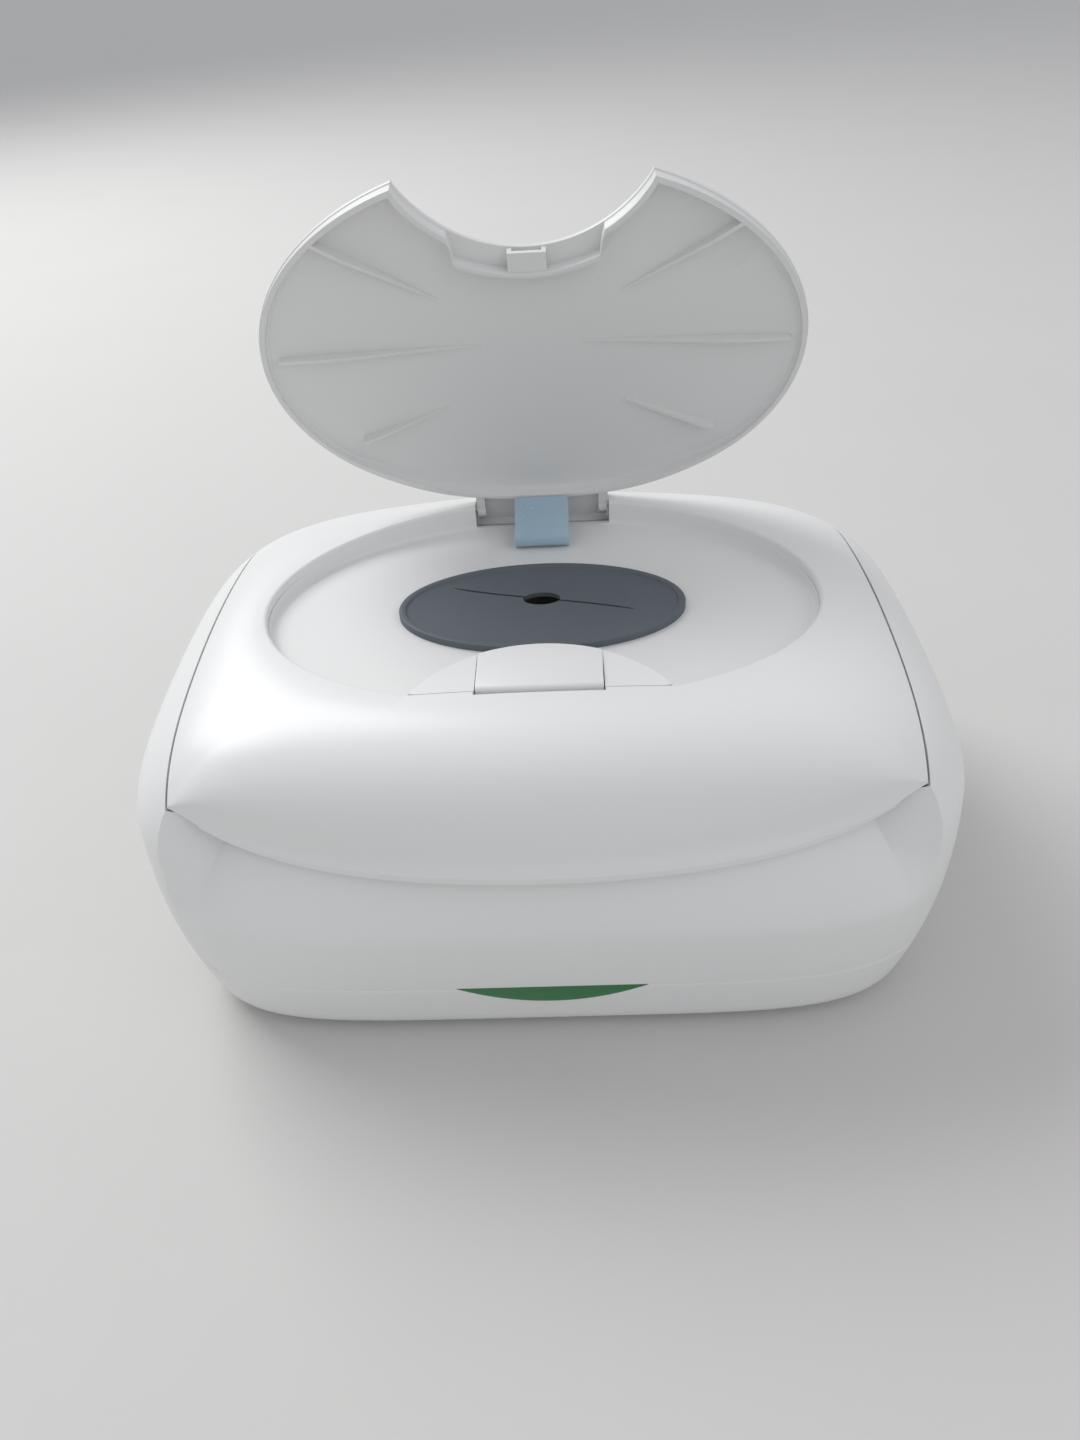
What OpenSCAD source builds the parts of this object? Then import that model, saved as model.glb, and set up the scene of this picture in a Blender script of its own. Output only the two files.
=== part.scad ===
// Baby wipe warmer: base pan, housing, heated tub and a hinged lid with a flip-open dispenser.
// X is the width, Y the depth from front to back and Z up. The origin is under the middle of the feet.
// The flip lid is drawn in its photographed place, open on its hinge.

/* [Body] */
// Width of the body at its widest
body_w = 248; // [236:1:270]
// Depth of the body at its deepest
body_d = 182; // [176:1:200]
// Height of the crown of the lid above the floor
crown_h = 105; // [100:0.5:118]
// How far the widest line of the body lies under the crown
bulge_drop = 43; // [40:0.5:46]
// Squareness of the plan at the widest line
bulge_n = 4.6; // [4:0.1:5.6]
// Squareness of the plan at the foot
foot_n = 5.6; // [4.6:0.1:6.4]
// How far the sides draw in towards the foot
side_taper = 12; // [6:0.5:14]
// How far the front and back draw in towards the foot
front_taper = 5; // [2:0.5:7]
// Height of the line between the base pan and the housing
part_h = 24; // [20:1:28]
// Wall of the mouldings
wall = 2.5; // [2:0.1:3]
// How far the feet stand out below the base
foot_h = 1.5; // [1:0.1:2.5]

/* [Lid] */
// Fullness of the roll from the lid down to the widest line
roll_p = 2.3; // [2:0.1:2.8]
// How far the lip's centre lies behind the widest line
lip_in = 1.2; // [0.4:0.1:2.5]
// How far the lip curves back at its corners
lip_bow = 17.4; // [14:0.2:20]
// How far the lip's centre lies under the crown
lip_drop = 35; // [32:0.5:37]
// Distance from the body's widest line to the lip's corner
lip_side_in = 21; // [20:0.5:24]
// Distance from the body's widest line to the side seam
seam_side_in = 19; // [17:0.5:20]
// Distance from the body's widest line to the rear seam
seam_rear_in = 11; // [10:0.5:12]
// Gap between the lid and the housing
seam_gap = 0.6; // [0.5:0.05:0.9]
// Largest opening angle of the lid
lid_open = 90; // [80:1:92]

/* [Recess] */
// Margin of the lid beside the oval recess
recess_side_in = 36; // [33:0.5:40]
// Margin of the lid in front of the recess
recess_front_in = 34.5; // [33:0.5:37]
// Margin of the lid behind the recess
recess_rear_in = 26.5; // [26:0.5:29]
// Depth of the recess under the crown
recess_depth = 9.5; // [8.5:0.1:11]
// Width of the recess floor beside the seal
seal_side_in = 42; // [38:0.5:46]
// Depth of the recess floor in front of and behind the seal
seal_front_in = 35; // [34:0.5:38]
// Half width of the seal's centre hole
seal_hole_a = 6; // [4:0.5:8]
// Half depth of the seal's centre hole
seal_hole_b = 3.7; // [2.5:0.1:5]

/* [Flip lid] */
// Angle at which the flip lid stands open
flip_open = 77; // [60:1:80]
// Gap round the flip lid in its recess
flip_gap = 1.2; // [1:0.1:1.6]
// Thickness of the flip lid's plate
flip_t = 2.2; // [1.8:0.1:2.8]
// Depth of the flip lid's skirt
flip_skirt = 6.5; // [5:0.1:7.5]
// Height of the stiffening ribs at their outer ends
rib_h = 4.6; // [2:0.2:5]
// Half width of the hinge pocket
pocket_half = 24.2; // [22:0.1:26]
// Width of the strap
strap_w = 19; // [14:0.5:24]
// Thickness of the strap
strap_t = 0.9; // [0.6:0.1:1.2]

/* [Latch] */
// Half width of the latch button
button_half = 17.8; // [15:0.1:19]
// Radius of the island behind the button
island_r = 43; // [41:0.5:46]
// How far the island reaches into the recess
island_in = 26.9; // [25:0.1:28]
// How far the straight seam in front of the button lies inside the recess oval
chord_in = 5.5; // [4.5:0.1:6.5]
// Turn of the button when it is pressed
button_turn = 7; // [4:0.5:8]
// Wire of the button's spring
spring_wire = 0.6; // [0.4:0.1:0.8]
// Turns of the button's spring
spring_turns = 5; // [4:1:7]

/* [Tub and heater] */
// Distance from the body's side to the tub's mouth
tub_side_in = 32; // [31:0.5:38]
// Distance from the body's front and back to the tub's mouth
tub_front_in = 32; // [31:0.5:36]
// Height of the tub's underside
tub_floor_h = 16; // [15:0.5:18]
// How far the deck that carries the tub lies under the crown
deck_drop = 35; // [35:0.5:37]
// Distance from the tub's mouth to the side edge of the heater plate
heater_side_in = 17; // [14:0.5:24]
// Distance from the tub's mouth to the front edge of the heater plate
heater_front_in = 14; // [11:0.5:20]
// Thickness of the moist pad
pad_t = 6; // [4:0.5:9]

/* [Front light and socket] */
// Half width of the front light window
lens_half = 28.3; // [24:0.1:32]
// Depth of the front light window
lens_drop = 6.7; // [5:0.1:8]
// Distance of the power socket from the middle
socket_x = 60; // [40:1:70]
// Radius of the power socket's bore
socket_r = 2.8; // [2.5:0.05:3.2]

/* [Fasteners] */
// Radius of the hinge pins of the lid
lid_pin_r = 1.5; // [1.2:0.1:2]
// Radius of the hinge pins of the flip lid
flip_pin_r = 1; // [0.8:0.1:1.2]
// Running clearance round a pin
pin_gap = 0.08; // [0.05:0.01:0.1]
// Radius of the screws' shanks
screw_r = 1.4; // [1.2:0.1:1.6]

/* [Hidden] */
$fn = 48;

white = [0.93, 0.93, 0.92];
pale = [0.84, 0.85, 0.85];
slate = [0.27, 0.3, 0.33];
green = [0.02, 0.35, 0.08];
steel = [0.72, 0.73, 0.75];

// Radii of the crown across and along the lid
crown_rx = 960;
crown_ry = 2200;
floor_z = crown_h - recess_depth;
skin_t = 2.4;

// Places that follow from the margins
bulge_h = crown_h - bulge_drop;
lip_h = crown_h - lip_drop;
deck_h = crown_h - deck_drop;
lip_reach = body_d / 2 - lip_in;
lip_half = body_w / 2 - lip_side_in;
seam_half = body_w / 2 - seam_side_in;
rear_seam = body_d / 2 - seam_rear_in;
recess_a = body_w / 2 - recess_side_in;
recess_b = (body_d - recess_front_in - recess_rear_in) / 2;
recess_cy = (recess_front_in - recess_rear_in) / 2;
seal_a = recess_a - seal_side_in;
seal_b = recess_b - seal_front_in;
island_y = recess_cy - recess_b + island_in;
chord_y = recess_cy - recess_b + chord_in;
tub_a = body_w / 2 - tub_side_in;
tub_b = body_d / 2 - tub_front_in;
heater_w = 2 * (tub_a - heater_side_in);
heater_d = 2 * (tub_b - heater_front_in);

// Hinge axes
lid_ax_y = rear_seam + 1;
lid_ax_z = bulge_h + 23;
flip_ax_y = recess_cy + recess_b + 2.5;
flip_ax_z = crown_h - 4.5;
latch_ax_y = island_y - 5.6;
latch_ax_z = crown_h - 13;

// Round rows: how many columns each stretch of the lid's outline has
front_cols = 12;
side_cols = 9;
corner_cols = 6;
rear_cols = 4;

function clamp01(v) = max(0, min(1, v));
function mix(a, b, t) = a + (b - a) * t;
function sgn(v) = v < 0 ? -1 : 1;
function along(a, b, d) = a + (b - a) * d / norm(b - a);
function flat(p) = [p[0], p[1]];

// A rounded rectangle as a superellipse
function super(a, b, n, t) =
    [a * sgn(cos(t)) * pow(abs(cos(t)), 2 / n), b * sgn(sin(t)) * pow(abs(sin(t)), 2 / n)];
function super_ring(a, b, n, z, count) =
    [for (i = [0:count - 1]) let (p = super(a, b, n, (i + 0.5) * 360 / count)) [p[0], p[1], z]];
function oval(a, b, cy, count) = [for (i = [0:count - 1]) [a * cos(i * 360 / count), cy + b * sin(i * 360 / count)]];

// The crown: a very flat dome over the whole lid
function crown_z(p) = crown_h - p[0] * p[0] / (2 * crown_rx) - pow(p[1] - recess_cy, 2) / (2 * crown_ry);

// Place of a plan point against the recess oval: 1 is on its rim
function rho(p) = norm([p[0] / recess_a, (p[1] - recess_cy) / recess_b]);
function rim(p) = [p[0] / rho(p), recess_cy + (p[1] - recess_cy) / rho(p)];
function bulge_norm(p) = pow(abs(p[0]) / (body_w / 2), bulge_n) + pow(abs(p[1]) / (body_d / 2), bulge_n);
function reach(e, lo = 1, hi = 3, k = 18) = let (m = (lo + hi) / 2, p = [e[0] * m, recess_cy + (e[1] - recess_cy) * m])
    k == 0 ? m : bulge_norm(p) > 1 ? reach(e, lo, m, k - 1) : reach(e, m, hi, k - 1);
function ray(e, m) = [e[0] * m, recess_cy + (e[1] - recess_cy) * m];

// Outer skin above the widest line: a quarter roll from the recess rim out to that line
function roll_z(e, t) = mix(bulge_h, crown_z(e), pow(max(0, 1 - pow(clamp01(t), roll_p)), 1 / roll_p));
function skin_z(p) = rho(p) <= 1 ? crown_z(p) :
    let (e = rim(p)) roll_z(e, (rho(p) - 1) / (reach(e) - 1));

// Outer skin below the widest line, on the column that meets it at plan point m
function drop_share(z) = clamp01((bulge_h - z) / bulge_h);
function low_w(z) = body_w / 2 - side_taper * pow(drop_share(z), 2.2);
function low_d(z) = body_d / 2 - front_taper * pow(drop_share(z), 2.2);
function low_n(z) = mix(bulge_n, foot_n, drop_share(z));
function low_pt(m, z, inset = 0) = let (u = [m[0] / (body_w / 2), m[1] / (body_d / 2)],
    s = pow(pow(abs(u[0]), low_n(z)) + pow(abs(u[1]), low_n(z)), -1 / low_n(z)))
    [(low_w(z) - inset) * u[0] * s, (low_d(z) - inset) * u[1] * s];

// Outline of the lid: lip, sides, rounded rear corners and rear seam
function side_x(y) = seam_half - (seam_half - lip_half) * pow((y - 10) / (lip_reach - lip_bow + 10), 2);
corner_y = rear_seam - 28;
corner_x = seam_half - 29;
function lip_y(x) = -lip_reach + lip_bow * pow(x / lip_half, 2);
half_outline = concat(
    [for (i = [0:front_cols]) let (x = lip_half * i / front_cols) [x, lip_y(x), 1]],
    [for (i = [1:side_cols]) let (y = mix(lip_y(lip_half), corner_y, i / side_cols)) [side_x(y), y, 0]],
    [for (i = [1:corner_cols]) let (t = 90 * i / corner_cols)
        [corner_x + (side_x(corner_y) - corner_x) * cos(t), corner_y + (rear_seam - corner_y) * sin(t), 0]],
    [for (i = [1:rear_cols]) [corner_x * (1 - i / rear_cols), rear_seam, 0]]);
half_n = len(half_outline);
outline = concat(half_outline,
    [for (i = [half_n - 2:-1:1]) [-half_outline[i][0], half_outline[i][1], half_outline[i][2]]]);
function is_lip(o) = o[2] > 0 && abs(o[0]) < lip_half - 0.01;
function is_corner(o) = o[2] > 0 && !is_lip(o);

// Heights of the lip along its curve; at the corners it meets the side seam
corner_z = skin_z([lip_half, lip_y(lip_half)]);
function lip_share(x) = pow(abs(x) / lip_half, 4.5);
function lip_z(x) = mix(lip_h, corner_z, lip_share(x));
flare_w = 2.6;
flare_h = 4.2;
function nose_in(x) = flare_w * (1 - lip_share(x));
function nose_z(x) = lip_z(x) + flare_h * (1 - lip_share(x));

// Top of the lid cover at plan point p on the column that ends at outline point o
function cover_z(p, o) = !is_lip(o) ? skin_z(p) :
    let (e = rim(flat(o)), n = along(flat(o), e, nose_in(o[0])), t = (rho(p) - 1) / (rho(n) - 1),
        zn = mix(nose_z(o[0]), crown_z(e), pow(max(0, 1 - pow(clamp01(t), roll_p)), 1 / roll_p)))
    mix(zn, skin_z(p), pow(abs(o[0]) / lip_half, 3));
function edge_z(o) = is_lip(o) ? lip_z(o[0]) : skin_z(flat(o));

// Faces that pass each other in a swing follow circles round the hinge axis
function swing_y(y, z, zl, ay, az, gap) = y < 40 ? y :
    ay - sqrt(max(1, pow(norm([y - ay, z - az]) - gap, 2) - pow(max(0, zl - az), 2)));

// A closed ring of loops, and a stack of loops with flat ends
function strip(a, b, n) = [for (i = [0:n - 1], k = [0, 1]) let (j = (i + 1) % n)
    k == 0 ? [a * n + i, b * n + i, b * n + j] : [a * n + i, b * n + j, a * n + j]];
function flatten(l) = [for (a = l, b = a) b];
module ring_solid(loops) {
    n = len(loops[0]);
    polyhedron(flatten(loops), flatten([for (k = [0:len(loops) - 1]) strip(k, (k + 1) % len(loops), n)]));
}
module stack_solid(loops) {
    n = len(loops[0]);
    last = len(loops) - 1;
    polyhedron(flatten(loops), concat(flatten([for (k = [0:last - 1]) strip(k, k + 1, n)]),
        [[for (i = [0:n - 1]) i]], [[for (i = [n - 1:-1:0]) last * n + i]]));
}
function lift(p, z) = [p[0], p[1], z];
function turned(l) = [for (i = [len(l) - 1:-1:0]) l[i]];

module along_x(x0, x1, y, z, r) {
    translate([x0, y, z]) rotate([0, 90, 0]) cylinder(r = r, h = x1 - x0);
}
module block(x0, x1, y0, y1, z0, z1) {
    translate([x0, y0, z0]) cube([x1 - x0, y1 - y0, z1 - z0]);
}
module both_x() {
    children();
    mirror([1, 0, 0]) children();
}
module four() {
    both_x() {
        children();
        mirror([0, 1, 0]) children();
    }
}
module slab_x(half, pts) {
    rotate([90, 0, 90]) translate([0, 0, -half]) linear_extrude(2 * half) polygon(pts);
}

// Places of the fasteners
boss_x = body_w / 2 - 24;
boss_y = body_d / 2 - 33;
foot_x = body_w / 2 - 40;
foot_y = body_d / 2 - 27;
foot_r = 8;
base_floor_z = foot_h + wall;
screw_head_r = 2 * screw_r;

// Base pan: a shallow pan with an upstanding lip that the housing sits round
bulge_outline = [for (o = outline) ray(rim(flat(o)), reach(rim(flat(o))))];
function pan_loop(z, inset) = [for (m = bulge_outline) lift(low_pt(m, z, inset), z)];
lip_up = 3;
lip_clear = 0.2;
module base_pan() {
    color(white) difference() {
        union() {
            stack_solid([pan_loop(foot_h, 7), pan_loop(foot_h + 0.5, 4), pan_loop(foot_h + 2.6, 1.2),
                pan_loop(foot_h + 6, 0), pan_loop(15, 0), pan_loop(part_h, 0),
                pan_loop(part_h, wall + lip_clear), pan_loop(part_h + lip_up, wall + 2 * lip_clear),
                pan_loop(part_h + lip_up, wall + 1.8), pan_loop(part_h - 2, wall + 2),
                pan_loop(base_floor_z + 3, wall + 2.4), pan_loop(base_floor_z, wall + 6)]);
            four() translate([boss_x, boss_y, base_floor_z - 0.5]) cylinder(r = 5, h = boss_foot + 0.5);
            four() translate([post_x, post_y, base_floor_z - 0.5]) cylinder(r = 3.5, h = clamp_z - base_floor_z + 0.5);
            both_x() translate([board_post_x, board_y, base_floor_z - 0.5]) cylinder(r = 2.5, h = board_z - base_floor_z + 0.5);
            both_x() block(lens_half + 2.2, lens_half + 4.2, lens_face + 2.9, lens_face + 5.5, part_h - 12, part_h);
            for (s = [-1, 1]) block(socket_x + s * 8.3 - 1, socket_x + s * 8.3 + 1,
                socket_face - 10.6, socket_face - 4.6, base_floor_z - 0.5, socket_z + 3);
        }
        four() translate([foot_x, foot_y, 0]) cylinder(r = foot_r + 0.2, h = foot_h + 0.8);
        four() translate([boss_x, boss_y, 0]) cylinder(r = screw_head_r + 0.3, h = screw_seat);
        four() translate([boss_x, boss_y, 0]) cylinder(r = screw_r + 0.1, h = 20);
        four() translate([post_x, post_y, base_floor_z + 1]) cylinder(r = screw_r, h = 20);
        lens_shape(lens_gap, lens_face - 6, lens_face + 9);
        lens_shape(lens_flange + lens_gap, lens_face + 2.95, lens_face + 9);
        translate([socket_x, socket_face - 4, socket_z]) rotate([-90, 0, 0]) cylinder(r = socket_r + 2.2, h = 20);
        block(socket_x - 7.1, socket_x + 7.1, socket_face - 16, socket_face + 0.1, base_floor_z, part_h + lip_up + 1);
        vent_slots();
    }
}
boss_foot = 5;
screw_seat = 4.5;
module vent_slots() {
    for (i = [-4:4]) block(i * 9 - 1.2, i * 9 + 1.2, 30, 52, 0, 8);
}

// Front light window: a flat-topped crescent under the parting line
lens_r = (lens_half * lens_half + lens_drop * lens_drop) / (2 * lens_drop);
lens_gap = 0.15;
lens_flange = 1.6;
lens_face = low_pt([0, -body_d / 2], part_h - lens_drop / 2)[1] - 0.3;
module lens_shape(grow, y0, y1) {
    intersection() {
        translate([0, y0, part_h - lens_drop + lens_r]) rotate([-90, 0, 0]) cylinder(r = lens_r + grow, h = y1 - y0, $fn = 96);
        block(-lens_half - grow, lens_half + grow, y0, y1, part_h - lens_drop - grow, part_h);
    }
}
module indicator_lens() {
    color(green) union() {
        lens_shape(0, lens_face, lens_face + 3.4);
        intersection() {
            lens_shape(lens_flange, lens_face + 3.1, lens_face + 4.6);
            block(-lens_half - 2, lens_half + 2, lens_face, lens_face + 5, 0, part_h - 0.1);
        }
    }
}

// Housing: side panels, scooped front wall, rear rail and the deck that carries the tub
function edge_out(o) = let (e = rim(flat(o))) along(flat(o), e, -seam_gap);
function wall_top(x) = lip_z(x) + 4.6 - 25 * pow(min(1, lip_share(x)), 3);
function behind(x) = 7.8 + 2 * pow(x / lip_half, 2);
scoop_z = bulge_h - 16;
function scoop(o, m, z) = pow(clamp01((z - scoop_z) / (wall_top(o[0]) - scoop_z)), 1.4) * (norm(m - flat(o)) + behind(o[0]));
function front_pt(o, m, z, inset) = along(low_pt(m, min(z, bulge_h)), rim(flat(o)), scoop(o, m, z) + inset);
function roll_pt(o, s) = let (e = rim(flat(o)), m = reach(e), t1 = (rho(edge_out(o)) - 1) / (m - 1), t = mix(1, t1, s))
    lift(ray(e, 1 + t * (m - 1)), roll_z(e, t));
function roll_in(o, s, inset) = let (q = roll_pt(o, s), e = rim(flat(o)), p = along(flat(q), e, inset))
    lift(p, q[2] - inset * s);
function housing_outer(z) = [for (i = [0:len(outline) - 1]) let (o = outline[i], m = bulge_outline[i])
    lift(is_lip(o) ? front_pt(o, m, z, 0) : low_pt(m, z), z)];
function housing_roll(s) = [for (i = [0:len(outline) - 1]) let (o = outline[i], m = bulge_outline[i],
    z = mix(bulge_h, wall_top(o[0]), s)) is_lip(o) ? lift(front_pt(o, m, z, 0), z) : roll_pt(o, s)];
function return_loop(f) = [for (i = [0:len(outline) - 1]) let (o = outline[i], m = bulge_outline[i], q = edge_out(o),
    zq = skin_z(q), z = mix(zq, deck_h, f), zf = mix(wall_top(o[0]), deck_h, f))
    is_lip(o) ? lift(front_pt(o, m, zf, wall), zf)
    : is_corner(o) ? lift(along(q, rim(flat(o)), 1), z)
    : [q[0], swing_y(q[1], zq, z, lid_ax_y, lid_ax_z, 0.2 * min(1, 4 * f)), z]];
function wedge_pt(o, m, k) = let (z = deck_h - wall - 1.5 - k) lift(is_lip(o) ? front_pt(o, m, z, wall)
    : low_pt(m, bulge_h, wall + (z - bulge_h) * 0.12), z);
function under_loop(z, out, k) = [for (i = [0:len(outline) - 1]) let (o = outline[i], m = bulge_outline[i], q = edge_out(o),
    y = swing_y(q[1], skin_z(q), z, lid_ax_y, lid_ax_z, 0.2)) o[2] > 0 ? wedge_pt(o, m, k)
    : lift(along([q[0], y], [0, recess_cy], -out), z)];
function inner_roll(s, k) = [for (i = [0:len(outline) - 1]) let (o = outline[i], m = bulge_outline[i])
    o[2] > 0 ? wedge_pt(o, m, k) : roll_in(o, s, wall)];
function housing_inner(z) = [for (i = [0:len(outline) - 1]) let (o = outline[i], m = bulge_outline[i])
    lift(is_lip(o) ? front_pt(o, m, z, wall) : low_pt(m, z, wall), z)];
function deck_loop(z) = [for (o = outline) let (u = [o[0] / (tub_a + 3), o[1] / (tub_b + 3)],
    s = pow(pow(abs(u[0]), 6) + pow(abs(u[1]), 6), -1 / 6)) [(tub_a + 3) * u[0] * s, (tub_b + 3) * u[1] * s, z]];

hinge_x1 = corner_x - 4;
hinge_x0 = hinge_x1 - 24;
hinge_arm = hinge_x1 - hinge_x0 - 0.8;
barrel_r = 3.2;
// Room for the lid's hinge arms: the sector they sweep as the lid opens
function polar(r, t) = [lid_ax_y + r * cos(t), lid_ax_z + r * sin(t)];
module hinge_slot() {
    translate([(hinge_x0 + hinge_x1) / 2, 0, 0]) slab_x((hinge_x1 - hinge_x0) / 2, concat([[lid_ax_y, lid_ax_z]],
        [for (i = [0:6]) polar(15, mix(98, 232, i / 6))], [[lid_ax_y + 0.5, lid_ax_z - barrel_r - 1.2]]));
}
module housing() {
    color(white) difference() {
        union() {
            difference() {
                ring_solid([housing_outer(part_h), housing_outer(mix(part_h, scoop_z, 0.45)),
                    housing_outer(scoop_z), housing_outer(bulge_h - 7),
                    housing_roll(0), housing_roll(0.12), housing_roll(0.28), housing_roll(0.46), housing_roll(0.64),
                    housing_roll(0.82), housing_roll(1), return_loop(0.12), return_loop(0.35), return_loop(1),
                    deck_loop(deck_h), deck_loop(deck_h - wall), under_loop(deck_h - wall, 2, 0),
                    under_loop(deck_h + 8, 2.6, 0.8), inner_roll(0.5, 1.6), inner_roll(0.1, 2.4), housing_inner(bulge_h - 7),
                    housing_inner(scoop_z), housing_inner(part_h)]);
                both_x() hinge_slot();
                both_x() along_x(hinge_x0, hinge_x1, lid_ax_y, lid_ax_z, barrel_r + 0.5);
            }
            both_x() {
                along_x(hinge_x0 - 6, hinge_x0, lid_ax_y, lid_ax_z, barrel_r + 0.6);
                along_x(hinge_x1, hinge_x1 + 6, lid_ax_y, lid_ax_z, barrel_r + 0.6);
            }
            four() translate([boss_x, boss_y, base_floor_z + boss_foot]) cylinder(r = 4, h = deck_h - wall / 2 - base_floor_z - boss_foot);
            four() translate([tub_screw_x, tub_screw_y, deck_h - wall - 6]) cylinder(r = 3, h = 6 + wall / 2);
        }
        both_x() along_x(hinge_x0 - 5, hinge_x1 + 5, lid_ax_y, lid_ax_z, lid_pin_r);
        four() translate([boss_x, boss_y, base_floor_z]) cylinder(r = screw_r, h = 22);
        four() translate([tub_screw_x, tub_screw_y, deck_h - wall - 5]) cylinder(r = screw_r, h = 20);
    }
}

// Tub: it hangs by its flange on the deck
tub_screw_x = tub_a + 6.8;
tub_screw_y = 18;
flange_a = tub_a + 9.5;
flange_b = tub_b + 9.2;
flange_t = 2;
tub_cols = 56;
module wipes_tub() {
    color(pale) difference() {
        stack_solid([super_ring(tub_a - 9, tub_b - 9, 4, tub_floor_h, tub_cols),
            super_ring(tub_a - 5, tub_b - 5, 5, tub_floor_h + 2.5, tub_cols),
            super_ring(tub_a - 3.4, tub_b - 3.4, 5.5, tub_floor_h + 8, tub_cols),
            super_ring(tub_a + 2, tub_b + 2, 6, deck_h, tub_cols), super_ring(flange_a, flange_b, 6, deck_h, tub_cols),
            super_ring(flange_a, flange_b, 6, deck_h + flange_t, tub_cols),
            super_ring(tub_a, tub_b, 6, deck_h + flange_t, tub_cols),
            super_ring(tub_a - 5.4, tub_b - 5.4, 5.5, tub_floor_h + 8.5, tub_cols),
            super_ring(tub_a - 7, tub_b - 7, 5, tub_floor_h + 4.2, tub_cols),
            super_ring(tub_a - 10, tub_b - 10, 4, tub_floor_h + 2.2, tub_cols)]);
        four() translate([tub_screw_x, tub_screw_y, deck_h - 1]) cylinder(r = screw_r + 0.1, h = 5);
    }
}
pad_a = tub_a - 12;
pad_b = tub_b - 12;
pad_z = tub_floor_h + 2.2;
module moisture_pad() {
    color([0.86, 0.9, 0.93]) stack_solid([super_ring(pad_a, pad_b, 4, pad_z, tub_cols),
        super_ring(pad_a + 1.4, pad_b + 1.4, 4.4, pad_z + pad_t * 0.45, tub_cols),
        super_ring(pad_a - 1.5, pad_b - 1.5, 4, pad_z + pad_t * 0.85, tub_cols),
        super_ring(pad_a - 12, pad_b - 12, 3.4, pad_z + pad_t, tub_cols)]);
}

// Heater under the tub: plate, serpentine element, foam and the bars that press them up
plate_t = 1.5;
plate_z = tub_floor_h - plate_t;
element_t = 0.8;
element_z = plate_z - element_t;
foam_t = 3;
foam_z = element_z - foam_t;
clamp_t = 1;
clamp_z = foam_z - clamp_t;
post_x = heater_w / 2 + 5;
post_y = 28;
module heater_plate() {
    color(steel) linear_extrude(plate_t) translate([0, 0]) square([heater_w, heater_d], center = true);
}
run_n = 8;
run_w = 3;
run_pitch = (heater_d - 16) / (run_n - 1);
run_half = heater_w / 2 - 8;
module heater_element() {
    color([0.55, 0.3, 0.2]) translate([0, 0, element_z]) {
        for (i = [0:run_n - 1]) {
            y = -heater_d / 2 + 8 + i * run_pitch;
            block(-run_half, run_half, y - run_w / 2, y + run_w / 2, 0, element_t);
            end = i % 2 == 0 ? run_half - run_w : -run_half;
            if (i < run_n - 1) block(end, end + run_w, y, y + run_pitch, 0, element_t);
        }
    }
}
thermostat_x = 24;
thermostat_r = 7;
fuse_x = -30;
fuse_r = 1.5;
module insulation_pad() {
    color([0.8, 0.78, 0.6]) difference() {
        block(-heater_w / 2 + 2, heater_w / 2 - 2, -heater_d / 2 + 2, heater_d / 2 - 2, foam_z, element_z);
        translate([thermostat_x, 0, foam_z - 1]) cylinder(r = thermostat_r + 0.5, h = 10);
        block(fuse_x - 8, fuse_x + 8, -2, 2, foam_z - 1, element_z + 1);
    }
}
module heater_clamp() {
    color(steel) difference() {
        union() {
            for (s = [-1, 1]) block(-post_x - 4, post_x + 4, s * post_y - 5, s * post_y + 5, clamp_z, foam_z);
            both_x() block(post_x - 9, post_x - 4, -post_y, post_y, clamp_z, foam_z);
        }
        four() translate([post_x, post_y, clamp_z - 1]) cylinder(r = screw_r + 0.1, h = 5);
    }
}
module clamp_screws() {
    color(steel) four() translate([post_x, post_y, 0]) {
        translate([0, 0, foam_z]) cylinder(r = screw_head_r, h = 1.6);
        translate([0, 0, base_floor_z + 1.5]) cylinder(r = screw_r, h = foam_z - base_floor_z - 1.5);
    }
}
module thermostat() {
    color([0.15, 0.15, 0.16]) union() {
        translate([thermostat_x, 0, element_z - 5]) cylinder(r = thermostat_r, h = 5);
        translate([thermostat_x, 0, element_z - 6.5]) cylinder(r = 4, h = 3);
        for (s = [-1, 1]) block(thermostat_x + s * 2 - 0.3, thermostat_x + s * 2 + 0.3, -1.6, 1.6, element_z - 9, element_z - 6);
    }
}
module thermal_fuse() {
    color([0.9, 0.85, 0.5]) union() {
        along_x(fuse_x - 4.5, fuse_x + 4.5, 0, element_z - fuse_r, fuse_r);
        along_x(fuse_x - 7.8, fuse_x + 7.8, 0, element_z - fuse_r, 0.4);
    }
}

// Board with the light behind the window, and the power socket at the back
board_z = 10;
board_t = 1.6;
board_y = 21 - body_d / 2;
board_post_x = 26;
led_z = part_h - lens_drop / 2 - 0.4;
led_r = 2.5;
module circuit_board() {
    color([0.05, 0.3, 0.15]) union() {
        block(-34, 34, board_y - 8, board_y + 8, board_z, board_z + board_t);
        block(-18, -8, board_y - 2, board_y + 5, board_z + board_t, board_z + board_t + 3);
        translate([14, board_y + 2, board_z + board_t]) cylinder(r = 3, h = 5);
    }
}
module indicator_led() {
    color([0.7, 0.95, 0.75]) union() {
        translate([0, board_y - 6, led_z]) rotate([90, 0, 0]) cylinder(r = led_r, h = 5.5);
        translate([0, board_y - 11.5, led_z]) sphere(r = led_r);
        translate([0, board_y - 6, led_z]) rotate([90, 0, 0]) cylinder(r = led_r + 0.5, h = 1);
        both_x() block(0.9, 1.5, board_y - 6.6, board_y - 6, board_z + board_t, led_z);
    }
}
socket_z = 13;
socket_face = body_d / 2 - 6.4;
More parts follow.
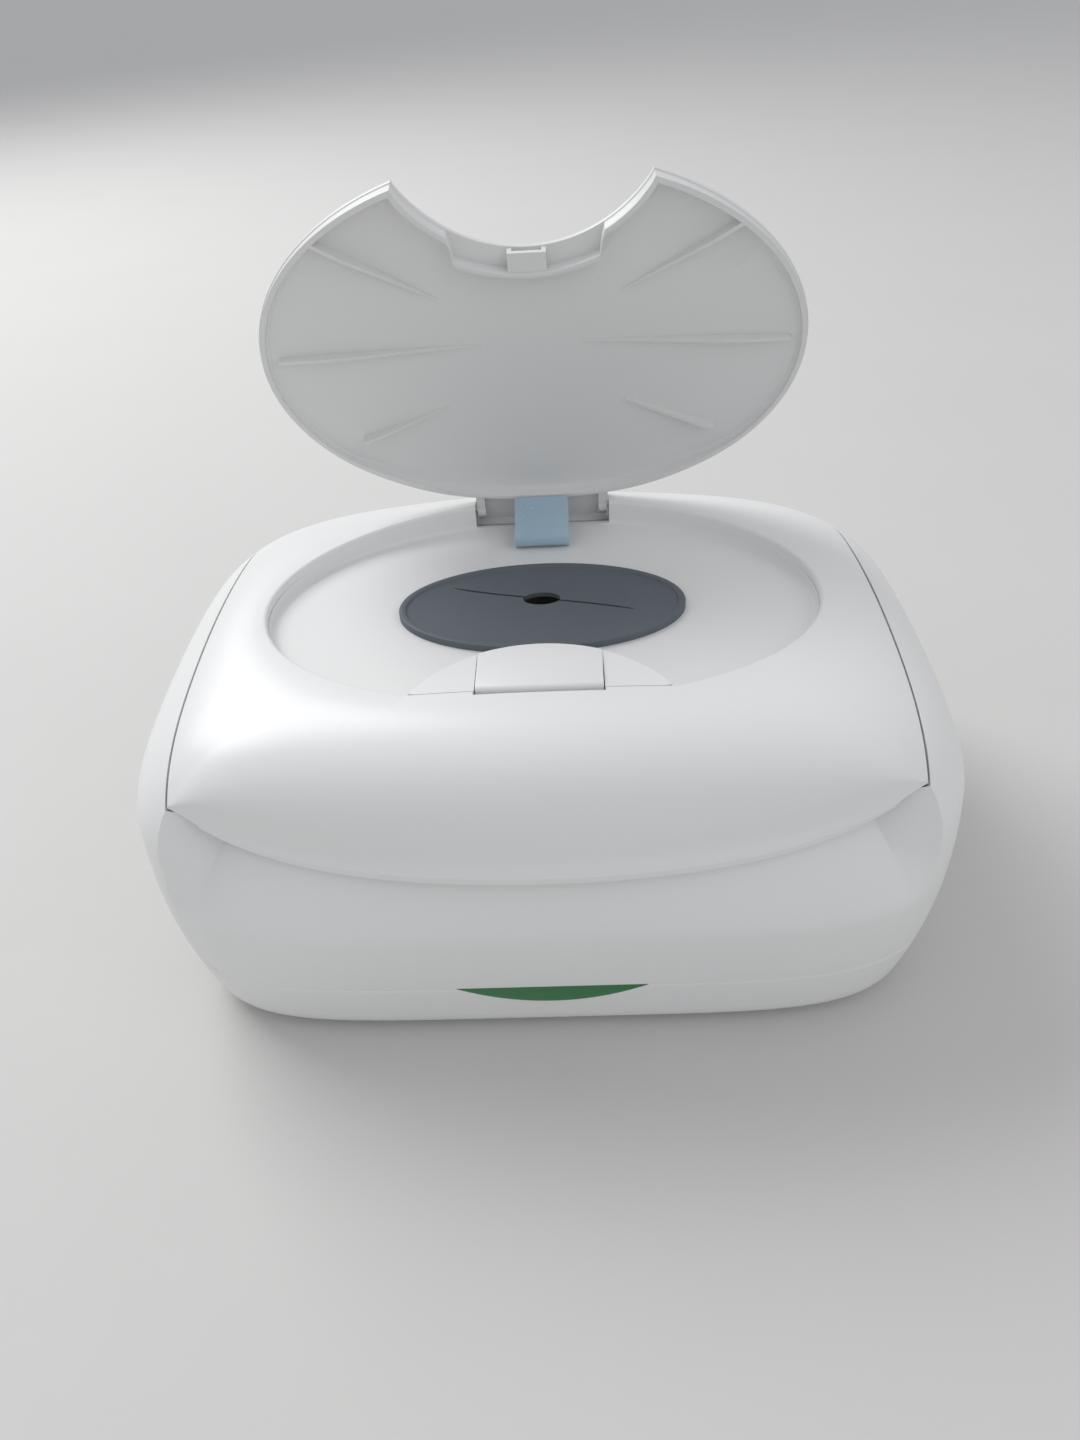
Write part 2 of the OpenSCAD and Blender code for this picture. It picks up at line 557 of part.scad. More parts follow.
module power_inlet() {
    color([0.12, 0.12, 0.13]) difference() {
        union() {
            block(socket_x - 7, socket_x + 7, socket_face - 14, socket_face, base_floor_z, socket_z + 6);
            translate([socket_x, socket_face - 1, socket_z]) rotate([-90, 0, 0]) cylinder(r = socket_r + 2, h = 4);
        }
        translate([socket_x, socket_face - 9, socket_z]) rotate([-90, 0, 0]) cylinder(r = socket_r, h = 20);
    }
}
module inlet_contacts() {
    color(steel) union() {
        translate([socket_x, socket_face - 9, socket_z]) rotate([-90, 0, 0]) cylinder(r = 1, h = 9);
        for (k = [-1, 1]) block(socket_x + k * 3 - 1, socket_x + k * 3 + 1, socket_face - 17, socket_face - 14, socket_z - 0.3, socket_z + 0.3);
    }
}
module base_screws() {
    color(steel) four() translate([boss_x, boss_y, 0]) {
        translate([0, 0, screw_seat - 2]) cylinder(r = screw_head_r, h = 2);
        translate([0, 0, screw_seat]) cylinder(r = screw_r, h = 18);
    }
}
module tub_screws() {
    color(steel) four() translate([tub_screw_x, tub_screw_y, 0]) {
        translate([0, 0, deck_h + flange_t]) cylinder(r = 2.2, h = 1.4);
        translate([0, 0, deck_h - wall - 4]) cylinder(r = screw_r, h = flange_t + wall + 4);
    }
}
module rubber_feet() {
    color([0.2, 0.2, 0.21]) four() translate([foot_x, foot_y, 0]) union() {
        translate([0, 0, 0.4]) cylinder(r = foot_r, h = foot_h + 0.4);
        cylinder(r1 = foot_r - 0.5, r2 = foot_r, h = 0.4);
    }
}
module lid_hinge_pins() {
    color(steel) both_x() along_x(hinge_x0 - 5, hinge_x1 + 5, lid_ax_y, lid_ax_z, lid_pin_r);
}

// Lid cover: one skin from the seal's hole up over the rim and out to the lip and seams
hole_cols = [for (o = outline) let (u = [o[0] / recess_a, (o[1] - recess_cy) / recess_b]) u / norm(u)];
hole_a = seal_a - 5;
hole_b = seal_b - 5;
seal_cy = recess_cy + 0.5;
wall_inset = 1;
function chord_clip(p) = [p[0], max(p[1], chord_y)];
function recess_loop(inset, z) = [for (o = outline) let (e = rim(flat(o)), p = chord_clip(along(e, [0, recess_cy], inset)))
    [p[0], p[1] + (p[1] <= chord_y ? inset * 0.4 : 0), z]];
function rim_loop(inset, down) = [for (o = outline) let (e = rim(flat(o)), p = chord_clip(along(e, [0, recess_cy], inset)))
    lift(p, crown_z(p) - down)];
function seal_loop(a, b, z) = [for (u = hole_cols) [a * u[0], seal_cy + b * u[1], z]];
function cover_end(o) = along(flat(o), rim(flat(o)), is_lip(o) ? nose_in(o[0]) : 0.4);
function cover_loop(f) = [for (o = outline) let (e = chord_clip(rim(flat(o))), p = mix(e, cover_end(o), f))
    lift(p, cover_z(p, o))];
skirt_z = deck_h + 7;
function edge_loop(down, inset) = [for (o = outline) let (p = along(flat(o), rim(flat(o)), inset), z0 = edge_z(o),
    tuck = 1 - pow(lip_share(o[0]), 2), zl = o[2] > 0 ? z0 - down * 2 * max(0.15, tuck) : mix(z0 - 0.4, skirt_z, down))
    is_lip(o) ? lift(along(flat(o), rim(flat(o)), inset * tuck), zl)
    : is_corner(o) ? lift(along(flat(o), rim(flat(o)), 0.3 + min(inset, 0.3) + min(down, 0.4) * 4), zl)
    : [p[0], min(p[1], swing_y(o[1], z0, zl, lid_ax_y, lid_ax_z, -inset)), zl]];
function under_end(o) = let (z0 = edge_z(o), p = along(flat(o), rim(flat(o)), is_corner(o) ? 7 : 3))
    is_lip(o) ? along(flat(o), rim(flat(o)), nose_in(o[0]) + 2 + 3 * lip_share(o[0])) : [p[0], min(p[1], swing_y(o[1], z0, z0 - 4, lid_ax_y, lid_ax_z, -3))];
function under_row(f) = [for (o = outline) let (e = rim(flat(o)), a = along(chord_clip(e), [0, recess_cy], -1.6),
    p = mix(a, under_end(o), f)) lift(p, cover_z(p, o) - skin_t)];
module lid_cover() {
    color(white) difference() {
        union() {
            difference() {
                ring_solid(turned([seal_loop(hole_a, hole_b, floor_z), recess_loop(2.8, floor_z), recess_loop(wall_inset, floor_z + 1.2),
                    rim_loop(0.4, 0.7), rim_loop(-0.3, 0), cover_loop(0.12), cover_loop(0.3), cover_loop(0.5),
                    cover_loop(0.68), cover_loop(0.82), cover_loop(0.92), cover_loop(0.98), cover_loop(1),
                    edge_loop(0, 0), edge_loop(0.03, 0), edge_loop(0.08, 0.02), edge_loop(0.16, 0.04), edge_loop(0.28, 0.05), edge_loop(0.5, 0.05),
                    edge_loop(1, 0.1), edge_loop(0.98, 2.4),
                    under_row(1), under_row(0.8), under_row(0.5), under_row(0.15),
                    recess_loop(-1.2, floor_z + 2), recess_loop(-0.6, floor_z - skin_t + 0.2),
                    seal_loop(hole_a, hole_b, floor_z - skin_t)]));
                along_x(-pocket_half, pocket_half, flip_ax_y, flip_ax_z, trough_r);
                block(-pocket_half, pocket_half, flip_ax_y - trough_r, flip_ax_y + 5.4, floor_z + 0.01, crown_h + 5);
            }
            difference() {
                along_x(-pocket_half - 2.2, pocket_half + 2.2, flip_ax_y, flip_ax_z, trough_r + 1.8);
                along_x(-pocket_half, pocket_half, flip_ax_y, flip_ax_z, trough_r);
                along_x(-60, 60, lid_ax_y, lid_ax_z, norm([1, crown_z([0, rear_seam]) - lid_ax_z]) + 0.3);
                slab_x(60, [[30, crown_h - 2.4], [rim_back + 4.5, crown_h - 2.8], [rim_back + 9.5, crown_h - 4.2],
                    [rim_back + 15.5, crown_h - 8.2], [100, crown_h - 8.2], [100, crown_h + 20], [30, crown_h + 20]]);
                block(-60, 60, 50, trough_front + 0.05, floor_z, crown_h + 20);
            }
            both_x() translate([(hinge_x0 + hinge_x1) / 2, 0, 0]) slab_x(hinge_arm / 2, [[lid_ax_y - 14.4, skirt_z],
                [lid_ax_y - 14.4, skirt_z + 4.2], [lid_ax_y - 12, skirt_z + 4.4], [lid_ax_y - 3, lid_ax_z - 0.5],
                [lid_ax_y, lid_ax_z], [lid_ax_y + 1, lid_ax_z - barrel_r + 0.2], [lid_ax_y - 5, skirt_z + 2], [lid_ax_y - 11, skirt_z]]);
            both_x() along_x(hinge_x0 + 0.4, hinge_x1 - 0.4, lid_ax_y, lid_ax_z, barrel_r);
            for (p = liner_posts) translate([p[0], p[1], liner_z + liner_t]) cylinder(r = 3.2, h = skin_z(p) - 1.2 - liner_z - liner_t);
        }
        both_x() along_x(hinge_x0 - 5, hinge_x1 + 5, lid_ax_y, lid_ax_z, lid_pin_r + pin_gap);
        along_x(-pocket_half - 2.1, pocket_half + 2.1, flip_ax_y, flip_ax_z, flip_pin_r);
        for (p = liner_posts) translate([p[0], p[1], liner_z]) cylinder(r = screw_r, h = 12);
        block(-well_half, well_half, well_y0, well_y1, well_floor - 3, crown_h + 5);
    }
}
trough_r = 6.3;
trough_front = flip_ax_y - sqrt(trough_r * trough_r - pow(flip_ax_z - floor_z, 2));
rim_back = recess_cy + recess_b;
well_half = button_half + 0.5;
well_y0 = chord_y - 1.4;
well_y1 = island_y - 1.6;
liner_z = deck_h + 5;
liner_t = 2.2;
liner_a = tub_a + 7;
liner_b = tub_b + 6;
liner_posts = [for (s = [-1, 1], y = [17 - liner_b, liner_b - 15]) [s * (liner_a - 19), y]];

// Liner: it closes the lid from below and seats the gasket
throat_a = seal_a - 4;
throat_b = seal_b - 4;
module liner_plate(h) {
    linear_extrude(h) polygon([for (i = [0:63]) super(liner_a, liner_b, 5, (i + 0.5) * 360 / 64)]);
}
module lid_liner() {
    color(pale) difference() {
        union() {
            translate([0, 0, liner_z]) liner_plate(liner_t);
            translate([0, 0, liner_z]) linear_extrude(retainer_z - liner_z) polygon(oval(throat_a + 2, throat_b + 2, seal_cy, 48));
        }
        translate([0, 0, liner_z - 1]) linear_extrude(30) polygon(oval(throat_a, throat_b, seal_cy, 48));
        for (p = liner_posts) translate([p[0], p[1], liner_z - 1]) cylinder(r = screw_r + 0.1, h = 10);
    }
}
module liner_screws() {
    color(steel) for (p = liner_posts) translate([p[0], p[1], liner_z]) {
        translate([0, 0, -1.6]) cylinder(r = 2.5, h = 1.6);
        cylinder(r = screw_r, h = 10);
    }
}
module lid_gasket() {
    color(slate) difference() {
        translate([0, 0, deck_h + flange_t + 0.3]) linear_extrude(liner_z - deck_h - flange_t - 0.3)
            polygon([for (i = [0:63]) super(tub_a + 3.6, tub_b + 5, 6, (i + 0.5) * 360 / 64)]);
        translate([0, 0, deck_h]) linear_extrude(20)
            polygon([for (i = [0:63]) super(tub_a + 1.2, tub_b + 2.6, 6, (i + 0.5) * 360 / 64)]);
    }
}

// Seal: a thin rubber oval with a raised rim, a centre hole and a long curved slit
seal_t = 1.6;
seal_rim = 2.4;
hole_y = seal_cy + 3.7;
slit_w = 0.9;
slit_half = seal_a - 16.5;
function slit_y(x) = hole_y - 0.24 * x - 0.00006 * pow(x, 3);
function slit_pts(s) = [for (i = [0:10]) let (x = s * mix(seal_hole_a - 1, slit_half, i / 10)) [x, slit_y(x)]];
module seal_disc(a, b, z0, z1) {
    translate([0, 0, z0]) linear_extrude(z1 - z0) polygon(oval(a, b, seal_cy, 72));
}
module dispenser_seal() {
    color(slate) difference() {
        union() {
            seal_disc(seal_a, seal_b, floor_z, floor_z + seal_t + 0.7);
            seal_disc(hole_a - 0.5, hole_b - 0.5, floor_z - skin_t - 0.6, floor_z + 0.5);
            seal_disc(hole_a + 3, hole_b + 3, floor_z - skin_t - seal_t - 0.4, floor_z - skin_t);
        }
        seal_disc(seal_a - seal_rim, seal_b - seal_rim, floor_z + seal_t, crown_h);
        seal_disc(hole_a - 2.4, hole_b - 2.4, floor_z - 8, floor_z);
        translate([0, 0, floor_z - 5]) linear_extrude(20) polygon(oval(seal_hole_a, seal_hole_b, hole_y, 32));
        for (s = [-1, 1]) translate([0, 0, floor_z - 5]) linear_extrude(20) polygon(concat(
            [for (p = slit_pts(s)) [p[0], p[1] + slit_w / 2]],
            [for (i = [10:-1:0]) let (p = slit_pts(s)[i]) [p[0], p[1] - slit_w / 2]]));
    }
}
retainer_z = floor_z - skin_t - seal_t - 0.4 - 2;
module seal_retainer() {
    color(pale) difference() {
        union() {
            seal_disc(hole_a + 5.6, hole_b + 5.6, retainer_z, floor_z - skin_t - seal_t - 0.4);
            difference() {
                seal_disc(hole_a + 5.6, hole_b + 5.6, retainer_z, floor_z - skin_t);
                seal_disc(hole_a + 3.2, hole_b + 3.2, retainer_z - 1, crown_h);
            }
        }
        seal_disc(hole_a - 2.4, hole_b - 2.4, retainer_z - 1, crown_h);
    }
}

// Island round the button: two wings flush with the lid, joined by the button's well
island_cy = island_y - island_r;
island_gap = 0.5;
function island_rear(x) = island_cy + sqrt(island_r * island_r - x * x);
function island_front(x, d) = max(chord_y + 0.4 * d, recess_cy - (recess_b - d) * sqrt(max(0, 1 - pow(x / (recess_a - d), 2))));
function island_tip(d, lo = 20, hi = 42, k = 20) = let (x = (lo + hi) / 2)
    k == 0 ? x : island_front(x, d) < island_rear(x) ? island_tip(d, x, hi, k - 1) : island_tip(d, lo, x, k - 1);
island_cols = 12;
function island_ring(inset, z) = let (d = inset + island_gap, t = island_tip(d))
    [for (p = concat([for (i = [-island_cols:island_cols]) let (x = -t * i / island_cols) [x, island_rear(x)]],
        [for (i = [1 - island_cols:island_cols - 1]) let (x = t * i / island_cols) [x, island_front(x, d)]]))
        lift(p, min(z, crown_z(p) - 0.1))];
well_t = 1.6;
well_floor = crown_h - 22;
sill_z = floor_z - 0.7;
module latch_bezel() {
    color(white) difference() {
        union() {
            stack_solid([island_ring(2.8, floor_z), island_ring(wall_inset, floor_z + 1.2), island_ring(0.5, crown_h)]);
            block(-well_half + 0.1, well_half - 0.1, well_y0 + 0.1, well_y1 - 0.1, well_floor, floor_z + 1);
        }
        block(-button_half - 0.3, button_half + 0.3, well_y0 - 5, island_y + 5, floor_z + 1.5, crown_h + 5);
        block(-button_half + 2, button_half - 2, well_y0 + well_t, well_y1 - well_t, well_floor + 1.6, crown_h + 5);
        block(-button_half + 2, button_half - 2, latch_ax_y - 4, island_y + 5, floor_z, crown_h + 5);
        block(-button_half - 0.3, button_half + 0.3, well_y0 - 5, latch_ax_y - 3, sill_z, crown_h + 5);
        along_x(-button_half - 0.2, button_half + 0.2, latch_ax_y, latch_ax_z, flip_pin_r);
    }
}
module latch_pin() {
    color(steel) along_x(-button_half, button_half, latch_ax_y, latch_ax_z, flip_pin_r);
}

// Button: a shell with a front face, two cheeks on the pin and a hook for the flip lid
button_front = chord_y + 0.5;
button_t = 1.8;
hook_half = 4;
hook_reach = 2.6;
hook_z = crown_h - 5.2;
cheek_half = button_half - 3;
cheek_r = 2;
module latch_button() {
    color(white) difference() {
        union() {
            intersection() {
                union() {
                    slab_x(button_half, [[button_front, crown_h - 1.2], [button_front + 0.6, crown_h - 0.4], [island_y + 4, crown_h],
                        [island_y + 4, crown_h - button_t], [button_front + button_t + 0.6, crown_h - button_t - 0.6],
                        [button_front + button_t, floor_z + 2.2], [button_front + 0.5, floor_z + 2.2]]);
                    both_x() block(button_half - 1.8, button_half, button_front + 1, island_y + 4, floor_z + 3, crown_h - 0.8);
                }
                translate([0, island_cy, 80]) cylinder(r = island_r - 0.2, h = 40, $fn = 120);
            }
            both_x() block(cheek_half - 2, cheek_half, latch_ax_y - cheek_r, latch_ax_y + cheek_r, latch_ax_z, crown_h - 1);
            both_x() along_x(cheek_half - 2, cheek_half, latch_ax_y, latch_ax_z, cheek_r);
            block(-hook_half, hook_half, island_y - 2.6, island_y + hook_reach, hook_z, hook_z + 1.4);
            block(-hook_half, hook_half, island_y - 2.6, island_y - 0.9, hook_z, crown_h - 1);
            translate([0, spring_y, spring_top - 0.01]) cylinder(r = 1.6, h = crown_h - 1 - spring_top);
        }
        along_x(-button_half, button_half, latch_ax_y, latch_ax_z, flip_pin_r + pin_gap);
    }
}

// Return spring of the button
spring_y = button_front + 7.5;
spring_z = well_floor + 1.6;
spring_top = crown_h - 8;
spring_r = 2.6;
spring_steps = 10;
function coil_pt(k) = let (t = 360 * k / spring_steps, share = k / (spring_steps * spring_turns))
    [spring_r * cos(t), spring_y + spring_r * sin(t), mix(spring_z + spring_wire / 2, spring_top - spring_wire / 2, share)];
coil_loops = [for (k = [0:spring_steps * spring_turns]) let (c = coil_pt(k), t = 360 * k / spring_steps)
    [for (j = [0:5]) c + spring_wire / 2 * cos(j * 60) * [cos(t), sin(t), 0] + [0, 0, spring_wire / 2 * sin(j * 60)]]];
module latch_spring() {
    color(steel) stack_solid([for (l = coil_loops) turned(l)]);
}

// Strap: a soft band from the recess floor up to the open flip lid
strap_turns = [[-19, 0.05 + strap_t / 2], [-22, 0.9], [-23.6, 2.6], [-23.4, 4.4], [-21.8, 6.3], [-18.5, 8], [-14, 9.3],
    [-9.6, 10.4], [-6.4, 11.6]];
strap_path = [for (p = concat([[trough_front - flip_ax_y - 0.3, 0.05 + strap_t / 2]], strap_turns)) [flip_ax_y + p[0], floor_z + p[1]]];
function turn_at(p, i) = let (a = p[max(0, i - 1)], b = p[min(len(p) - 1, i + 1)], d = (b - a) / norm(b - a)) [-d[1], d[0]];
module pop_strap() {
    n = len(strap_path) - 1;
    color([0.72, 0.84, 0.92]) slab_x(strap_w / 2, concat(
        [for (i = [0:n]) strap_path[i] + turn_at(strap_path, i) * strap_t / 2],
        [for (i = [n:-1:0]) strap_path[i] - turn_at(strap_path, i) * strap_t / 2]));
}
module flip_hinge_pins() {
    color(steel) both_x() along_x(arm_x0 + 0.2, pocket_half + 2, flip_ax_y, flip_ax_z, flip_pin_r);
}

// Flip lid: drawn closed in its recess, then turned open on its hinge
flip_a = recess_a - flip_gap;
flip_b = recess_b - flip_gap;
notch_r = island_r + 0.8;
flip_c = [0, 30];
tip_x = 37;
function notch_y(x) = island_cy + sqrt(notch_r * notch_r - x * x);
tip_y = notch_y(tip_x);
tip_ang = asin((tip_y - recess_cy) / flip_b);
flip_tip = acos(tip_x / flip_a);
notch_cols = 16;
oval_cols = 48;
flip_outline = concat(
    [for (i = [0:oval_cols]) let (t = mix(-flip_tip, 180 + flip_tip, i / oval_cols)) [flip_a * cos(t), recess_cy + flip_b * sin(t), i % oval_cols == 0 ? 2 : 0]],
    [for (i = [1:notch_cols - 1]) let (x = mix(-tip_x, tip_x, i / notch_cols)) [x, notch_y(x), 1]]);
latch_gap_half = 22;
function flip_set(q) = q[2] > 0 && abs(q[0]) < latch_gap_half ? 6 : 0.3;
function skirt_down(q) = min(flip_skirt, crown_z(q) - floor_z - 2);
function flip_edge(q, down, inset) = let (z0 = crown_z(q), z = z0 - min(down, skirt_down(q)),
    p = q[2] > 1 ? [q[0] + sgn(q[0]) * 0.35 * inset, q[1] + 1.2 * inset]
    : q[2] > 0 ? [q[0], q[1] + inset / sqrt(1 - pow(q[0] / notch_r, 2))] : along(flat(q), flip_c, inset))
    [p[0], q[1] > 40 ? min(p[1], swing_y(q[1], z0, z, flip_ax_y, flip_ax_z, -inset)) : p[1], z];
function flip_loop(f) = [for (q = flip_outline) let (p = mix(flip_c, flat(q), f)) lift(p, crown_z(p))];
function flip_under(f) = [for (q = flip_outline) let (p = mix(flip_c, flat(flip_edge(q, flip_t, flip_set(q) + 2.2)), f))
    lift(p, crown_z(p) - flip_t)];
function flip_cap(f, z) = [for (q = flip_outline) lift(mix(flip_c, flat(q), f), z)];
arm_x0 = pocket_half - 3.6;
arm_x1 = pocket_half - 0.6;
tail_y = flip_ax_y + 5;
// Ribs: share of the way from the middle to the edge, and the angle, at their outer and inner ends
rib_ways = [[[0.972, -41.9], [0.441, -42.6]], [[0.936, -1.5], [0.192, -7.6]], [[0.856, 36.8], [0.479, 45.4]]];
rib_ends = [for (w = rib_ways) [for (e = w) [flip_a * e[0] * cos(e[1]), recess_cy + flip_b * e[0] * sin(e[1])]]];
module rib(a, b) {
    l = norm(b - a);
    za = crown_z(a) - flip_t;
    zb = crown_z(b) - flip_t;
    translate([a[0], a[1], 0]) rotate([0, 0, atan2(b[1] - a[1], b[0] - a[0])]) rotate([90, 0, 0])
        translate([0, 0, -0.7]) linear_extrude(1.4) polygon([[0, za + 0.8], [l, zb + 0.8], [l, zb - 0.3], [0, max(za - rib_h, floor_z + 2)]]);
}
module flip_closed() {
    difference() {
        union() {
            stack_solid(turned([flip_cap(0.04, crown_z(flip_c)), flip_loop(0.4), flip_loop(0.75), flip_loop(0.93),
                [for (q = flip_outline) flip_edge(q, 0.15, 0.7)], [for (q = flip_outline) flip_edge(q, 0.8, 0)],
                [for (q = flip_outline) flip_edge(q, flip_t, 0.1)], [for (q = flip_outline) flip_edge(q, flip_t + 0.3, flip_set(q))],
                [for (q = flip_outline) flip_edge(q, flip_skirt, flip_set(q) + 0.2)],
                [for (q = flip_outline) flip_edge(q, flip_skirt, flip_set(q) + 1.9)],
                [for (q = flip_outline) flip_edge(q, flip_t + 0.1, flip_set(q) + 2.2)],
                flip_under(0.8), flip_under(0.4), flip_cap(0.04, crown_z(flip_c) - flip_t)]));
            both_x() for (r = rib_ends) rib(r[0], r[1]);
            slab_x(arm_x1, [[flip_ax_y - 7, crown_h - 1.2], [flip_ax_y - 4, crown_h - 1.2], [tail_y, crown_h - 2.4],
                [tail_y, crown_h - 4], [flip_ax_y - 7, crown_h - 3.2]]);
            both_x() block(arm_x0, arm_x1, flip_ax_y - 7, flip_ax_y, flip_ax_z - 2.2, crown_h - 3);
            both_x() along_x(arm_x0, arm_x1, flip_ax_y, flip_ax_z, 2.8);
            both_x() block(hook_half + 0.4, hook_half + 1.8, island_y + 1, island_y + 8, hook_z - 1.8, crown_h - 2.4);
            block(-hook_half - 1.8, hook_half + 1.8, island_y + 1, island_y + 8, hook_z - 1.8, hook_z - 0.3);
        }
        along_x(-pocket_half, pocket_half, flip_ax_y, flip_ax_z, flip_pin_r + pin_gap);
    }
}
module flip_lid() {
    color(white) translate([0, flip_ax_y, flip_ax_z]) rotate([-flip_open, 0, 0]) translate([0, -flip_ax_y, -flip_ax_z]) flip_closed();
}

base_pan();
housing();
wipes_tub();
moisture_pad();
translate([0, 0, plate_z]) heater_plate();
heater_element();
insulation_pad();
heater_clamp();
thermostat();
thermal_fuse();
circuit_board();
indicator_led();
indicator_lens();
power_inlet();
inlet_contacts();
base_screws();
clamp_screws();
tub_screws();
rubber_feet();
lid_hinge_pins();
lid_cover();
lid_liner();
lid_gasket();
dispenser_seal();
seal_retainer();
latch_bezel();
liner_screws();
flip_hinge_pins();
latch_pin();
latch_spring();
pop_strap();
flip_lid();
latch_button();
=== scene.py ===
import bpy
import bmesh
import math
import numpy as np
from mathutils import Matrix, Vector


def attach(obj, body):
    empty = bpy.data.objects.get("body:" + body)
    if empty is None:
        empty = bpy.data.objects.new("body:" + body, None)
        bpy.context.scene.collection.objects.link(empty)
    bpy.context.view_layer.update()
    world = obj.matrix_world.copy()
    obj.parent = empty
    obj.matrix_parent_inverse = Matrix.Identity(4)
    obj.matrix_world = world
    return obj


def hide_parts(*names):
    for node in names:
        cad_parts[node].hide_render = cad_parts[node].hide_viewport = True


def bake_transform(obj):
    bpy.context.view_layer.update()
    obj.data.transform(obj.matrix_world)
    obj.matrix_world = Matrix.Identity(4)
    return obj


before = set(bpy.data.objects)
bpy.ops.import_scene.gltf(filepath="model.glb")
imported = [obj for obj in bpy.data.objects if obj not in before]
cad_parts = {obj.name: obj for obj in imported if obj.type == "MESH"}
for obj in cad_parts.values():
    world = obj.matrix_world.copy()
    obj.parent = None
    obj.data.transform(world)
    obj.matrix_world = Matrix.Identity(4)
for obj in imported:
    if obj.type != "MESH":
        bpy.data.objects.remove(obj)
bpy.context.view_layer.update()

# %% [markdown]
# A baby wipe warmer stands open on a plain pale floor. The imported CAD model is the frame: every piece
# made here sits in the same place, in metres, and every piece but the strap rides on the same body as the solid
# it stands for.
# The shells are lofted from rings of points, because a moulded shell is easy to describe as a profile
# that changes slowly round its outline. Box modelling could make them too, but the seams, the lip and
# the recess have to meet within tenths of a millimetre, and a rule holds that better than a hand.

MM = 0.001
BODY_HALF_W, BODY_HALF_D = 124.0, 91.0
BULGE_Z, BULGE_N, FOOT_N = 62.0, 4.6, 5.6
SIDE_TAPER, FRONT_TAPER, TAPER_P = 12.0, 5.0, 2.2
PART_Z, WALL, FOOT_Z = 24.0, 2.5, 1.5
CROWN_Z, CROWN_RX, CROWN_RY, ROLL_P = 105.0, 960.0, 2200.0, 2.3
LIP_REACH, LIP_BOW, LIP_Z, LIP_HALF = 89.8, 17.4, 70.0, 103.0
SEAM_HALF, REAR_SEAM, SEAM_GAP = 105.0, 80.0, 0.6
RECESS_A, RECESS_B, RECESS_CY, FLOOR_Z = 88.0, 60.5, 4.0, 95.5
DECK_Z, SKIRT_Z, SKIN = 70.0, 77.0, 2.4
LID_AXIS = np.array([81.0, 85.0])
FLIP_AXIS = np.array([67.0, 100.5])
FLIP_OPEN = 77.0

# %% [markdown]
# The outline of the lid has a bowed lip at the front, two long sides and two rounded rear corners.
# Every ring of the lid and of the housing has one point on each of its columns, so the rings join
# into clean strips of four-sided faces, and the two shells follow each other along the seam.

# %% Columns of the lid's outline
CORNER_Y, CORNER_X = 52.0, 76.0
LIP_COLS, SIDE_COLS = 12, 9


def lip_y(x):
    return -LIP_REACH + LIP_BOW * (x / LIP_HALF) ** 2


def side_x(y):
    return SEAM_HALF - (SEAM_HALF - LIP_HALF) * ((y - 10.0) / 82.4) ** 2


def half_outline(k):
    rows = [(x, lip_y(x), 1.0) for x in np.linspace(0, LIP_HALF, LIP_COLS * k + 1)]
    rows += [(side_x(y), y, 0.0) for y in np.linspace(lip_y(LIP_HALF), CORNER_Y, SIDE_COLS * k + 1)[1:]]
    ex, ey = side_x(CORNER_Y) - CORNER_X, REAR_SEAM - CORNER_Y
    rows += [(CORNER_X + ex * math.cos(t), CORNER_Y + ey * math.sin(t), 0.0)
             for t in np.linspace(0, math.pi / 2, 6 * k + 1)[1:]]
    rows += [(x, REAR_SEAM, 0.0) for x in np.linspace(CORNER_X, 0, 4 * k + 1)[1:]]
    return rows


def full_outline(k):
    half = half_outline(k)
    return np.array(half + [(-x, y, f) for x, y, f in half[-2:0:-1]])


K = 6
COL = full_outline(K)
O = COL[:, :2]
FRONT = COL[:, 2] > 0
LIP = FRONT & (np.abs(O[:, 0]) < LIP_HALF - 0.01)
N = len(O)
CORNER = LIP_COLS * K


def straight_to_corner(ring, sides=(-1, 1)):
    """Next to a front corner the rows run straight to the corner's own point, as a mitre does."""
    out = ring.copy()
    for side in sides:
        for j in range(1, K):
            for flip in (False, True):
                c, near, last = CORNER, CORNER + side * j, CORNER + side * K
                if flip:
                    c, near, last = N - c, N - near, N - last
                out[near] = ring[c] + (ring[last] - ring[c]) * (j / K)
    return out


print("columns round the lid:", N)

# %% [markdown]
# The skin is a very flat dome that rolls over into the widest line of the body. One formula gives its
# height anywhere: a dome inside the recess rim and a quarter roll between the rim and the widest line.


# %% The rule of the skin
def mix(a, b, t):
    return a + (b - a) * t


def along(a, b, d):
    v = b - a
    return a + v * (np.asarray(d)[..., None] / np.linalg.norm(v, axis=-1, keepdims=True))


def crown(p):
    return CROWN_Z - p[..., 0] ** 2 / (2 * CROWN_RX) - (p[..., 1] - RECESS_CY) ** 2 / (2 * CROWN_RY)


def rho(p):
    return np.hypot(p[..., 0] / RECESS_A, (p[..., 1] - RECESS_CY) / RECESS_B)


def rim(p):
    r = rho(p)[..., None]
    return np.concatenate([p[..., :1] / r, RECESS_CY + (p[..., 1:2] - RECESS_CY) / r], axis=-1)


def ray(e, m):
    m = np.asarray(m)[..., None]
    return np.concatenate([e[..., :1] * m, RECESS_CY + (e[..., 1:2] - RECESS_CY) * m], axis=-1)


def reach(e):
    lo, hi = np.ones(e.shape[:-1]), np.full(e.shape[:-1], 3.0)
    for _ in range(24):
        m = (lo + hi) / 2
        p = ray(e, m)
        out = (np.abs(p[..., 0]) / BODY_HALF_W) ** BULGE_N + (np.abs(p[..., 1]) / BODY_HALF_D) ** BULGE_N > 1
        lo, hi = np.where(out, lo, m), np.where(out, m, hi)
    return (lo + hi) / 2


def quarter(t):
    return (1 - np.clip(t, 0, 1) ** ROLL_P) ** (1 / ROLL_P)


def roll_height(e, t):
    return mix(BULGE_Z, crown(e), quarter(t))


